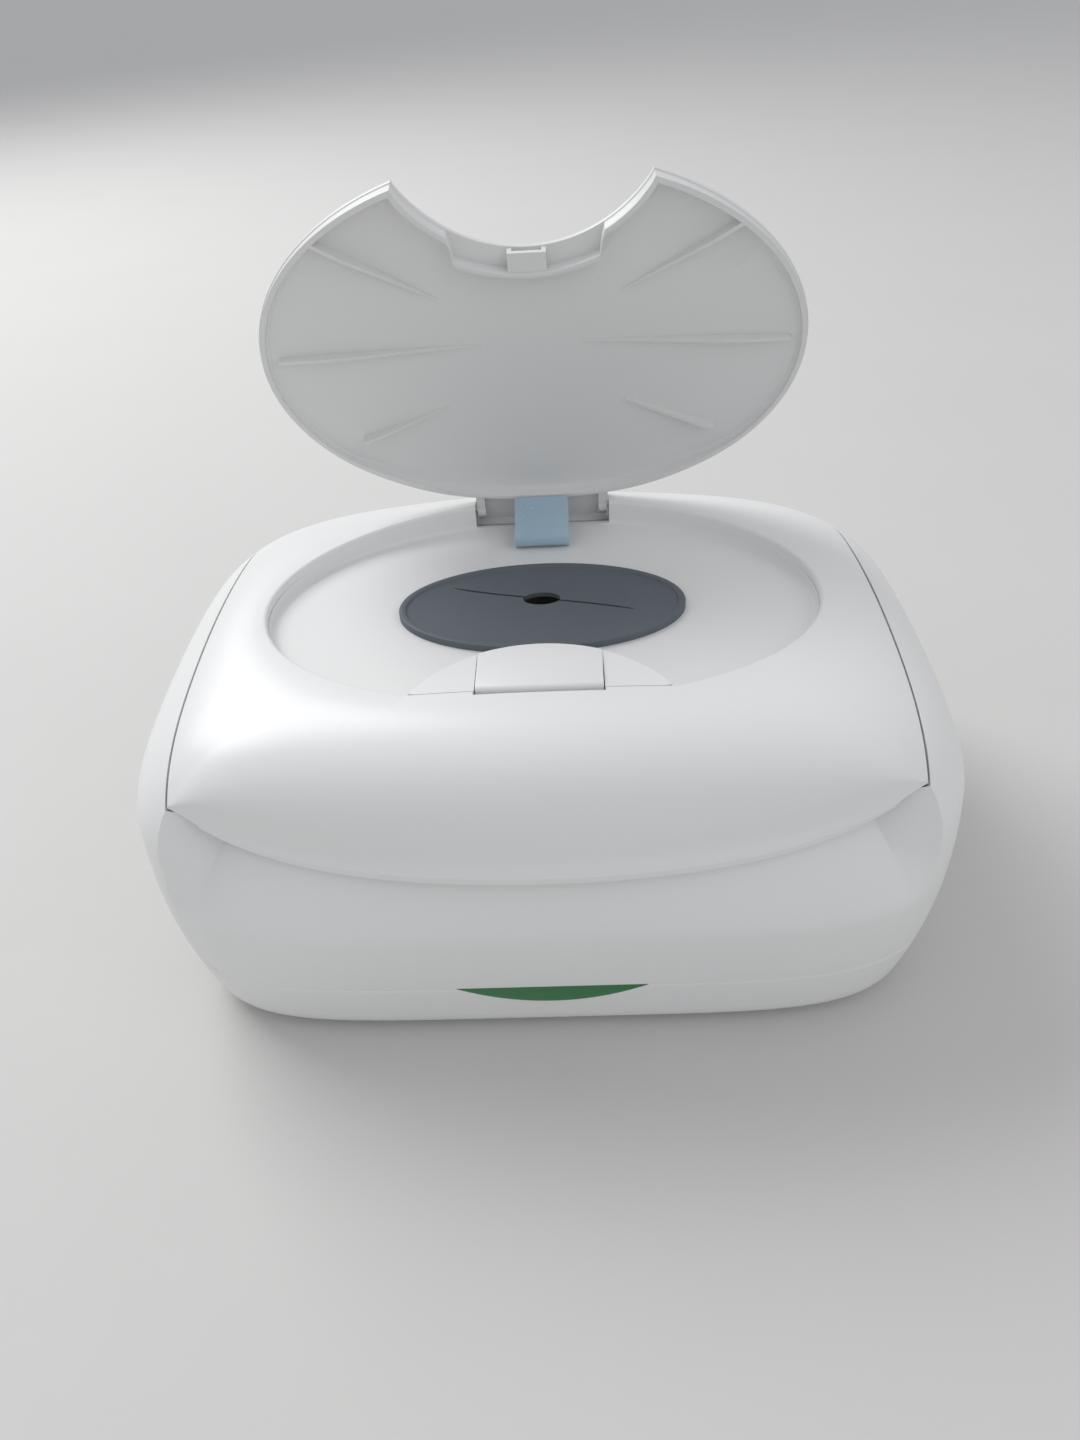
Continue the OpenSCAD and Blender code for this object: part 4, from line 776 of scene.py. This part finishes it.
foot_round = [(0, 7.0), (0.08, 5.6), (0.5, 4.0), (1.4, 2.3), (2.6, 1.2), (4.2, 0.35), (6, 0.0)]
top_edge = [(-0.45, 0.0), (-0.12, 0.12), (-0.02, 0.4), (-0.02, WALL + 0.2),
            (3, WALL + 0.2), (3, WALL + 1.8), (-2, WALL + 2)]
rows = [pan_ring(FOOT_Z + z, inset) for z, inset in foot_round]
rows += [pan_ring(z, 0.0) for z in (10, 13, 16, 19, 22)]
rows += [pan_ring(PART_Z + z, inset) for z, inset in top_edge]
rows += [pan_ring(7, WALL + 2.4), pan_ring(4, WALL + 6)]
base_pan = loft("base_pan_shell", rows, closed=False)
LENS_HALF, LENS_DROP = 28.3, 6.7
LENS_R = (LENS_HALF ** 2 + LENS_DROP ** 2) / (2 * LENS_DROP)


def lens_prism(name, grow, y0, y1, top):
    half = LENS_HALF + grow
    ang = math.asin(min(1, half / (LENS_R + grow)))
    cz = PART_Z - LENS_DROP + LENS_R
    r = LENS_R + grow
    low = [(math.sin(t) * r, cz - math.cos(t) * r) for t in np.linspace(-ang, ang, 61)]
    ring = np.array([(x, 0, min(z, top - 0.01)) for x, z in low] + [(half, 0, top), (-half, 0, top)])
    return loft(name, [ring + np.array([0, y, 0]) for y in (y0, y1)], closed=False)


cut(base_pan, lens_prism("t", 0.15, -95, -80, PART_Z + 0.2), rod_y("t", 60, 13, 5.0, 80, 100))
for i in range(-4, 5):
    cut(base_pan, block("t", i * 9 - 1.2, i * 9 + 1.2, 30, 52, 0, 8))
for sx in (-1, 1):
    for sy in (-1, 1):
        cut(base_pan, rod_z("t", sx * 103, sy * 60, 3.1, 0, 4.5))
smooth(base_pan, 32)
place(base_pan, "base", "base_pan", finish=shell_white)
print("base pan faces:", len(base_pan.data.polygons))

# %% [markdown]
# The window of the front light is a dark green crescent under the parting line. It is its own moulding,
# set into an opening of the pan, so it gets a fine rounded edge and a hairline gap all round.

# %% Front light window
LENS_Y = float(low_point(np.array([0.0, -BODY_HALF_D]), PART_Z - LENS_DROP / 2)[1]) - 0.3
lens = lens_prism("front_window", 0.0, LENS_Y, LENS_Y + 3.4, PART_Z)
rounded(lens, 0.3, 3, 50)
smooth(lens, 40)
place(lens, "base", "indicator_lens", finish=lens_green)

# %% [markdown]
# The flip lid is an oval plate with a bite out of its front edge for the button's island. It is made
# closed, in its recess, and then turned open about its hinge, as the real one is moulded flat.

# %% Outline of the flip lid
FLIP_A, FLIP_B = RECESS_A - 1.2, RECESS_B - 1.2
NOTCH_R, TIP_X = ISLAND_R + 0.8, 37.0
FLIP_C = np.array([0.0, 30.0])
FLIP_T, FLIP_SKIRT = 2.2, 6.5
TIP_BLEND, STEP_X, STEP_IN = 8.0, 22.6, 6.0
tip_t = math.acos(TIP_X / FLIP_A)
turns = np.linspace(-tip_t, math.pi + tip_t, 241)
oval = [(FLIP_A * math.cos(t), RECESS_CY + FLIP_B * math.sin(t), 0) for t in turns]
notch = [(x, ISLAND_CY + math.sqrt(NOTCH_R ** 2 - x * x), 1) for x in np.linspace(-TIP_X, TIP_X, 97)[1:-1]]
Q = np.array(oval + notch)
QN = len(Q)
QP, NOTCH = Q[:, :2], Q[:, 2] > 0


def plate_edge(down, inset):
    inset = np.broadcast_to(inset, QN)
    z0 = crown(QP)
    z = z0 - np.minimum(down, np.minimum(FLIP_SKIRT, z0 - FLOOR_Z - 2))
    p = QP + (FLIP_C - QP) * (inset / np.linalg.norm(FLIP_C - QP, axis=1))[:, None]
    rise = inset[NOTCH] / np.sqrt(1 - (QP[NOTCH, 0] / NOTCH_R) ** 2)
    p[NOTCH] = QP[NOTCH] + np.column_stack([np.zeros(NOTCH.sum()), rise])
    dy = QP[:, 1] - QP[0, 1]
    to_tip = np.minimum(np.hypot(QP[:, 0] - TIP_X, dy), np.hypot(QP[:, 0] + TIP_X, dy))
    near = np.clip(1 - to_tip / TIP_BLEND, 0, 1)
    tip = QP + np.column_stack([np.sign(QP[:, 0]) * 0.35 * inset, 1.2 * inset])
    p = mix(p, tip, near[:, None])
    back = QP[:, 1] > 40
    p[:, 1] = np.where(back, np.minimum(p[:, 1], swing(QP[:, 1], z0, z, FLIP_AXIS, -inset)), p[:, 1])
    return lifted(p, z)


def plate_top(f):
    p = mix(FLIP_C, QP, f)
    return lifted(p, crown(p))


step = np.clip((STEP_X - np.abs(QP[:, 0])) / 0.8, 0, 1)
SET = np.where(NOTCH, mix(0.3, STEP_IN, step), 0.3)


SOFT_SET = np.where(NOTCH, mix(0.3, STEP_IN, np.clip((30 - np.abs(QP[:, 0])) / 8, 0, 1)), 0.3)


def plate_under(f):
    p = mix(FLIP_C, plate_edge(FLIP_T, SOFT_SET + 3.2)[:, :2], f)
    return lifted(p, crown(p) - FLIP_T)


top_round = [(0.02, 1.5), (0.12, 0.7), (0.36, 0.2), (0.8, 0.0), (FLIP_T - 0.35, 0.05),
             (FLIP_T - 0.05, 0.12), (FLIP_T, 0.3)]
skirt_round = [(FLIP_T + 0.3, 0.15), (FLIP_T + 0.6, 0.15), (FLIP_SKIRT - 0.3, 0.2), (FLIP_SKIRT - 0.06, 0.35),
               (FLIP_SKIRT, 0.6), (FLIP_SKIRT, 1.5), (FLIP_SKIRT - 0.2, 1.85), (FLIP_T + 1.0, 2.0),
               (FLIP_T + 0.35, 2.2), (FLIP_T + 0.05, 2.8)]
rows = [plate_top(f) for f in (0.04, 0.4, 0.75, 0.93)]
rows += [plate_edge(down, inset) for down, inset in top_round]
rows += [plate_edge(down, SET + inset) for down, inset in skirt_round]
rows += [plate_under(f) for f in (1, 0.8, 0.4, 0.04)]
flip = loft("flip_lid_shell", rows, closed=False)
print("flip lid faces:", len(flip.data.polygons))

# %% [markdown]
# Six ribs stiffen the plate. Each is tall at the skirt and runs out to nothing towards the middle. Two arms
# and a tail go down into the hinge pocket, and a small box at the notch catches the button's hook.

# %% Ribs, arms, tail and catch of the flip lid
RIB_ENDS = [((62.8, -34.5), (28.2, -13.7)), ((81.2, 2.5), (16.5, 2.5)), ((59.5, 34.4), (29.2, 24.2))]
RIB_H = 4.6
for s in (-1, 1):
    for a, b in RIB_ENDS:
        a, b = np.array([s * a[0], a[1]]), np.array([s * b[0], b[1]])
        d = (b - a) / np.linalg.norm(b - a)
        w = np.array([-d[1], d[0]])
        steps = np.linspace(0, 1, 9)
        ring = []
        for t in steps:
            c = mix(a, b, t)
            z = float(crown(c)) - FLIP_T
            h = min(mix(RIB_H, 0.25, t ** 0.9), z - FLOOR_Z - 2)
            half = mix(0.75, 0.55, t)
            ring.append([(*(c + w * half), z + 0.8), (*(c + w * half * 0.7), z - h),
                         (*(c - w * half * 0.7), z - h), (*(c - w * half), z + 0.8)])
        rib = loft("t", [np.array(r) for r in ring], closed=False)
        cut(flip, rib, mode="UNION")
AX0, AX1 = POCKET_HALF - 3.6, POCKET_HALF - 0.6
TAIL = [(FY - 7, CROWN_Z - 1.2), (FY - 4, CROWN_Z - 1.2), (FY + 5, CROWN_Z - 2.4), (FY + 5, CROWN_Z - 4),
        (FY - 7, CROWN_Z - 3.2)]
tail = prism_x("t", -AX1, AX1, TAIL)
cut(flip, tail, mode="UNION")
for s in (-1, 1):
    x0, x1 = sorted((s * AX0, s * AX1))
    arm = block("t", x0, x1, FY - 7, FY, FZ - 2.2, CROWN_Z - 3)
    cut(arm, rod_x("t", x0, x1, FY, FZ, 2.8), mode="UNION")
    cut(flip, arm, mode="UNION")
    x0, x1 = sorted((s * 4.4, s * 5.8))
    cut(flip, block("t", x0, x1, ISLAND_Y + 1, ISLAND_Y + 8, CROWN_Z - 6, CROWN_Z - 2.4), mode="UNION")
cut(flip, block("t", -5.8, 5.8, ISLAND_Y + 1, ISLAND_Y + 8, CROWN_Z - 6, CROWN_Z - 4.5), mode="UNION")
axis = Matrix.Translation((0, FY * MM, FZ * MM))
turn = axis @ Matrix.Rotation(math.radians(-FLIP_OPEN), 4, "X") @ Matrix.Translation((0, -FY * MM, -FZ * MM))
flip.data.transform(turn)
smooth(flip, 32)
place(flip, "flip_lid", "flip_lid", finish=inner_white)
print("flip lid after cuts:", len(flip.data.polygons))

# %% [markdown]
# The seal is a soft slate disc with a raised edge, a centre hole and a long curved slit. The wipe is pulled
# through the hole, and the slit lets the rubber give way.

# %% Seal
SLIT_HALF, HOLE_Y = 29.5, 8.2


def seal_ring(a, b, z, n=144):
    t = np.linspace(0, 2 * math.pi, n, endpoint=False)
    return np.column_stack([a * np.cos(t), SEAL_CY + b * np.sin(t), np.full(n, z)])


Z = FLOOR_Z
seal_profile = [(0, 0.02), (0, 1.9), (-0.15, 2.15), (-0.45, 2.3), (-1.7, 2.3), (-2.1, 2.18), (-2.35, 1.95),
                (-2.5, 1.7), (-2.9, 1.6), (-12, 1.55), (-22, 1.5)]
rings = [seal_ring(SEAL_A + d, SEAL_B + d, Z + z) for d, z in seal_profile]
seal = loft("seal_disc", [seal_ring(8, 4, Z)] + rings + [seal_ring(8, 3, Z + 1.5)], closed=False)


def slit_y(x):
    return HOLE_Y - 0.24 * x - 0.00006 * x ** 3


for s in (-1, 1):
    xs = s * np.linspace(5, SLIT_HALF, 31)
    half = 0.45 * np.sqrt(np.clip((SLIT_HALF + 0.2 - np.abs(xs)) / 6, 0.02, 1))
    far = [(x, slit_y(x) + h, 0) for x, h in zip(xs, half)]
    close = [(x, slit_y(x) - h, 0) for x, h in zip(xs[::-1], half[::-1])]
    ring = np.array(far + close)
    cut(seal, loft("t", [ring + np.array([0, 0, z]) for z in (Z - 5, Z + 8)], closed=False))
t = np.linspace(0, 2 * math.pi, 64, endpoint=False)
ring = np.column_stack([6 * np.cos(t), HOLE_Y + 3.7 * np.sin(t), np.zeros(64)])
cut(seal, loft("t", [ring + np.array([0, 0, z]) for z in (Z - 5, Z + 8)], closed=False))
smooth(seal, 40)
place(seal, "lid", "dispenser_seal", finish=slate_rubber)

# %% [markdown]
# The strap is a soft, pale blue band that makes the flip lid pop up. It starts flat on the recess floor,
# turns back on itself and goes up to the flip lid. Its path is measured from the floor and smoothed.

# %% Strap
STRAP_HALF, STRAP_HALF_T = 9.5, 0.45
strap_rise = [(TROUGH_FRONT - 0.3, 0.5), (48, 0.5), (45, 0.9), (43.4, 2.6), (43.6, 4.4), (45.2, 6.3), (48.5, 8),
              (53, 9.3), (57.4, 10.4), (60.6, 11.6)]
curve = np.array([(y, Z + rise) for y, rise in strap_rise])
tt = np.linspace(0, len(curve) - 1, 60)
path = np.column_stack([np.interp(tt, range(len(curve)), curve[:, k]) for k in (0, 1)])
for _ in range(6):
    path[1:-1] = (path[:-2] + 2 * path[1:-1] + path[2:]) / 4
tang = np.gradient(path, axis=0)
tang /= np.linalg.norm(tang, axis=1, keepdims=True)
nrm = np.column_stack([-tang[:, 1], tang[:, 0]])
sect = np.concatenate([path + nrm * STRAP_HALF_T, (path - nrm * STRAP_HALF_T)[::-1]])
strap = prism_x("strap_band", -STRAP_HALF, STRAP_HALF, [tuple(p) for p in sect])
rounded(strap, 0.2, 2, 60)
smooth(strap, 40)
strap.data.materials.append(strap_blue)
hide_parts("pop_strap")
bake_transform(strap)
print("strap faces:", len(strap.data.polygons))

# %% [markdown]
# The island round the button is two wings, flush with the lid, joined by the button's well. On the real
# lid it is part of the moulding; a fine seam shows round it. It is lofted from rings of one outline.

# %% Island round the button
ISLAND_GAP, ISLAND_COLS = 0.5, 60
WELL_HALF, WELL_Y0, WELL_Y1 = BUTTON_HALF + 0.5, CHORD_Y - 1.4, ISLAND_Y - 1.6
WELL_FLOOR, WELL_T = CROWN_Z - 22, 1.6
LATCH_Y, LATCH_Z, PIN_R = ISLAND_Y - 5.6, CROWN_Z - 13, 1.0


def island_rear(x):
    return ISLAND_CY + np.sqrt(ISLAND_R ** 2 - x ** 2)


def island_front(x, d):
    oval_y = RECESS_CY - (RECESS_B - d) * np.sqrt(np.maximum(0, 1 - (x / (RECESS_A - d)) ** 2))
    return np.maximum(CHORD_Y + 0.4 * d, oval_y)


def island_tip(d):
    lo, hi = 20.0, 42.0
    for _ in range(30):
        mid = (lo + hi) / 2
        lo, hi = (mid, hi) if island_front(mid, d) < island_rear(mid) else (lo, mid)
    return (lo + hi) / 2


def island_ring(inset, z):
    d = inset + ISLAND_GAP
    tip = island_tip(d)
    back = np.linspace(tip, -tip, 2 * ISLAND_COLS + 1)
    front = np.linspace(-tip, tip, 2 * ISLAND_COLS + 1)[1:-1]
    rear_part = np.column_stack([back, island_rear(back)])
    p = np.concatenate([rear_part, np.column_stack([front, island_front(front, d)])])
    return lifted(p, np.minimum(z, crown(p) - 0.1))


island_rise = [(2.8, FLOOR_Z), (1.9, FLOOR_Z + 0.3), (1.3, FLOOR_Z + 0.8), (1.0, FLOOR_Z + 1.5),
               (0.5, CROWN_Z - 1.3), (0.56, CROWN_Z - 1.05), (0.75, CROWN_Z)]
island = loft("island", [island_ring(i, z) for i, z in island_rise], closed=False)
well = block("t", -WELL_HALF + 0.1, WELL_HALF - 0.1, WELL_Y0 + 0.1, WELL_Y1 - 0.1, WELL_FLOOR, FLOOR_Z + 1)
cut(island, well, mode="UNION")
ROOM, WELL_IN, OVER = BUTTON_HALF + 0.3, BUTTON_HALF - 2, CROWN_Z + 5
cut(island, block("t", -ROOM, ROOM, WELL_Y0 - 5, ISLAND_Y + 5, FLOOR_Z + 1.5, OVER),
    block("t", -WELL_IN, WELL_IN, WELL_Y0 + WELL_T, WELL_Y1 - WELL_T, WELL_FLOOR + WELL_T, OVER),
    block("t", -WELL_IN, WELL_IN, LATCH_Y - 4, ISLAND_Y + 5, FLOOR_Z, OVER),
    block("t", -ROOM, ROOM, WELL_Y0 - 5, LATCH_Y - 3, FLOOR_Z - 0.7, OVER),
    rod_x("t", -BUTTON_HALF - 0.2, BUTTON_HALF + 0.2, LATCH_Y, LATCH_Z, PIN_R))
smooth(island, 30)
place(island, "lid", "latch_bezel", finish=lid_white)
print("island faces:", len(island.data.polygons))

# %% [markdown]
# The button is a thin shell: a slightly domed top with a round rear edge, a front face that drops into
# the slot for the thumb, two cheeks on the pin and a hook that holds the flip lid.

# %% Latch button
BUTTON_FRONT, BUTTON_T = CHORD_Y + 0.5, 1.8
HOOK_HALF, HOOK_REACH, HOOK_Z = 4.0, 2.6, CROWN_Z - 5.2
CHEEK, CHEEK_R = BUTTON_HALF - 3, 2.0
NOSE_R = 1.6
front_nose = [(BUTTON_FRONT + NOSE_R - NOSE_R * math.cos(t), CROWN_Z - 1.9 + NOSE_R * math.sin(t))
              for t in np.linspace(0.15, math.pi / 2 - 0.1, 9)]
behind_face, under_top = BUTTON_FRONT + BUTTON_T, CROWN_Z - BUTTON_T
profile = front_nose + [(ISLAND_Y + 4, CROWN_Z), (ISLAND_Y + 4, under_top), (behind_face + 1.6, under_top - 0.3),
                        (behind_face + 0.4, under_top - 1.4), (behind_face, FLOOR_Z + 2.2),
                        (BUTTON_FRONT + 0.5, FLOOR_Z + 2.2)]
button = prism_x("button", -BUTTON_HALF, BUTTON_HALF, profile)
for s in (-1, 1):
    x0, x1 = sorted((s * (BUTTON_HALF - 1.8), s * BUTTON_HALF))
    cut(button, block("t", x0, x1, BUTTON_FRONT + 1, ISLAND_Y + 4, FLOOR_Z + 3, CROWN_Z - 0.8), mode="UNION")
cut(button, rod_z("t", 0, ISLAND_CY, ISLAND_R - 0.2, 80, 120, 720), mode="INTERSECT")
rounded(button, 0.28, 3, 40)
for s in (-1, 1):
    x0, x1 = sorted((s * (CHEEK - 2), s * CHEEK))
    cut(button, block("t", x0, x1, LATCH_Y - CHEEK_R, LATCH_Y + CHEEK_R, LATCH_Z, CROWN_Z - 1), mode="UNION")
    cut(button, rod_x("t", x0, x1, LATCH_Y, LATCH_Z, CHEEK_R), mode="UNION")
hook_back = ISLAND_Y - 2.6
hook = block("t", -HOOK_HALF, HOOK_HALF, hook_back, ISLAND_Y + HOOK_REACH, HOOK_Z, HOOK_Z + 1.4)
cut(button, hook, mode="UNION")
hook_web = block("t", -HOOK_HALF + 0.02, HOOK_HALF - 0.02, hook_back, ISLAND_Y - 0.9, HOOK_Z + 0.02, CROWN_Z - 1)
cut(button, hook_web, mode="UNION")
cut(button, rod_z("t", 0, BUTTON_FRONT + 7.5, 1.6, CROWN_Z - 8.01, CROWN_Z - 1), mode="UNION")
cut(button, rod_x("t", -BUTTON_HALF, BUTTON_HALF, LATCH_Y, LATCH_Z, PIN_R + 0.08))
smooth(button, 30)
place(button, "latch_button", "latch_button", finish=lid_white)
print("button faces:", len(button.data.polygons))

# %% [markdown]
# The moist pad on the tub's floor is felt. It is crowned, its edge draws in, and quilting rows show.

# %% Moist pad
TUB_A, TUB_B, PAD_Z = BODY_HALF_W - 32, BODY_HALF_D - 32, 18.2
PAD_A, PAD_B = TUB_A - 12, TUB_B - 12
PAD_COLS = 160


def pad_ring(a, b, n, z):
    t = (np.arange(PAD_COLS) + 0.5) * 2 * math.pi / PAD_COLS
    x = a * np.sign(np.cos(t)) * np.abs(np.cos(t)) ** (2 / n)
    y = b * np.sign(np.sin(t)) * np.abs(np.sin(t)) ** (2 / n)
    quilt = 0.35 * np.cos(x * math.pi / 12) ** 8
    inside = np.clip((PAD_A - a) / 6, 0, 1)
    return np.column_stack([x, y, np.full(PAD_COLS, z) - quilt * inside])


pad_rows = [(0.05, 0.0), (0.5, 0.0), (0.93, 0.0), (0.985, 0.25), (1.008, 1.2), (1.015, 2.4), (1.008, 3.6),
            (0.985, 4.7), (0.95, 5.3), (0.9, 5.6), (0.82, 5.8)]
pad_rows += [(f, 5.9 + 0.1 * (1 - f)) for f in (0.72, 0.6, 0.48, 0.36, 0.24, 0.12, 0.03)]
pad = loft("moist_pad", [pad_ring(PAD_A * f, PAD_B * f, 4.0, PAD_Z + z) for f, z in pad_rows], closed=False)
smooth(pad, 60)
place(pad, "base", "moisture_pad", finish=pad_cloth)
print("pad faces:", len(pad.data.polygons))

# %% [markdown]
# Screws and feet repeat. One unit of each is turned as a profile, and a small geometry node tree sets a
# copy on every place. Copying by hand would do too, but then a change of the unit has to be made four times.

# %% Repeated fasteners and feet
def repeat_group():
    g = bpy.data.node_groups.new("repeat_on_places", "GeometryNodeTree")
    face = g.interface
    face.new_socket("Places", in_out="INPUT", socket_type="NodeSocketGeometry")
    face.new_socket("Unit", in_out="INPUT", socket_type="NodeSocketObject")
    face.new_socket("Size", in_out="INPUT", socket_type="NodeSocketFloat").default_value = 1.0
    face.new_socket("Finish", in_out="INPUT", socket_type="NodeSocketMaterial")
    face.new_socket("Result", in_out="OUTPUT", socket_type="NodeSocketGeometry")
    gi, go = g.nodes.new("NodeGroupInput"), g.nodes.new("NodeGroupOutput")
    info = g.nodes.new("GeometryNodeObjectInfo")
    on_points = g.nodes.new("GeometryNodeInstanceOnPoints")
    real = g.nodes.new("GeometryNodeRealizeInstances")
    paint = g.nodes.new("GeometryNodeSetMaterial")
    g.links.new(gi.outputs["Unit"], info.inputs["Object"])
    g.links.new(gi.outputs["Places"], on_points.inputs["Points"])
    g.links.new(info.outputs["Geometry"], on_points.inputs["Instance"])
    g.links.new(gi.outputs["Size"], on_points.inputs["Scale"])
    g.links.new(on_points.outputs["Instances"], real.inputs["Geometry"])
    g.links.new(real.outputs["Geometry"], paint.inputs["Geometry"])
    g.links.new(gi.outputs["Finish"], paint.inputs["Material"])
    g.links.new(paint.outputs["Geometry"], go.inputs["Result"])
    return g


REPEAT = repeat_group()


def turned_piece(name, profile, n=48):
    t = np.linspace(0, 2 * math.pi, n, endpoint=False)
    rings = [np.column_stack([r * np.cos(t), r * np.sin(t), np.full(n, z)]) for r, z in profile]
    return loft(name, rings, closed=False)


def screw(head_r, head_h, shank, face):
    """Pan head with a cross recess. face is 1 when the head looks up; the head's face is at height 0."""
    profile = [(head_r - 0.6, 0), (head_r - 0.2, 0.14), (head_r, 0.5), (head_r, head_h), (1.4, head_h)]
    for u in np.arange(0.6, shank - 1.0, 0.8):
        profile += [(1.4, head_h + u), (1.15, head_h + u + 0.35), (1.15, head_h + u + 0.4)]
    profile += [(1.0, head_h + shank - 0.2), (0.5, head_h + shank)]
    ob = turned_piece("t_screw", [(r, -face * u) for r, u in profile])
    low, high = sorted((face, -face * 0.9))
    cut(ob, block("t", -1.3, 1.3, -0.35, 0.35, low, high), block("t", -0.35, 0.35, -1.3, 1.3, low, high))
    return ob


def repeated(name, node, body, unit, places, finish):
    me = bpy.data.meshes.new(name)
    me.from_pydata([(x * MM, y * MM, z * MM) for x, y, z in places], [], [])
    ob = new_object(name, me)
    m = ob.modifiers.new("repeat", "NODES")
    m.node_group = REPEAT
    sockets = {item.name: item.identifier for item in REPEAT.interface.items_tree if item.in_out == "INPUT"}
    m[sockets["Unit"]], m[sockets["Size"]], m[sockets["Finish"]] = unit, 1.0, finish
    baked(ob)
    bpy.data.objects.remove(unit)
    smooth(ob, 40)
    place(ob, body, node)
    print(node, "copies:", len(places), "faces:", len(ob.data.polygons))


def four(x, y, z):
    return [(i * x, j * y, z) for i in (-1, 1) for j in (-1, 1)]


pan_places = four(BODY_HALF_W - 24, BODY_HALF_D - 33, 2.5)
repeated("pan_screws", "base_screws", "base", screw(2.8, 2.0, 18.0, -1), pan_places, steel)
tub_places = four(TUB_A + 6.8, 18, DECK_Z + 3.4)
repeated("tub_flange_screws", "tub_screws", "base", screw(2.2, 1.4, 8.5, 1), tub_places, steel)
clamp_places = four(TUB_A - 12, 28, 12.3)
repeated("clamp_bar_screws", "clamp_screws", "base", screw(2.8, 1.6, 5.2, 1), clamp_places, steel)
LINER_X, LINER_B = TUB_A - 12, TUB_B + 6
liner_places = [(s * LINER_X, y, DECK_Z + 3.4) for s in (-1, 1) for y in (17 - LINER_B, LINER_B - 15)]
repeated("lid_liner_screws", "liner_screws", "lid", screw(2.5, 1.6, 10.0, -1), liner_places, steel)
foot_profile = [(2.0, 0.35), (5.2, 0.35), (5.5, 0.05), (7.2, 0), (7.5, 0.02), (7.85, 0.2),
                (8, 0.5), (8, 2.2), (7.9, 2.3)]
foot_places = four(BODY_HALF_W - 40, BODY_HALF_D - 27, 0)
repeated("round_feet", "rubber_feet", "base", turned_piece("t_foot", foot_profile, 72), foot_places, foot_rubber)

# %% [markdown]
# The pieces inside the body are carried over from the CAD as they are and get their real materials:
# stamped steel, tinned plate, copper foil, glass wool, circuit board and so on.

# %% Finishes of the carried-over solids
CARRIED = {
    "wipes_tub": liner_grey, "heater_plate": tin, "heater_element": copper, "insulation_pad": wool,
    "heater_clamp": steel, "thermostat": black_plastic, "thermal_fuse": fuse_tan,
    "circuit_board": board_green, "indicator_led": led_clear, "power_inlet": black_plastic,
    "inlet_contacts": brass, "lid_hinge_pins": steel, "lid_liner": liner_grey,
    "lid_gasket": gasket_rubber, "seal_retainer": liner_grey, "flip_hinge_pins": steel,
    "latch_pin": steel, "latch_spring": steel,
}
for node, mat in CARRIED.items():
    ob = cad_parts[node]
    ob.data.materials.clear()
    ob.data.materials.append(mat)
print("carried-over solids with a finish:", len(CARRIED))
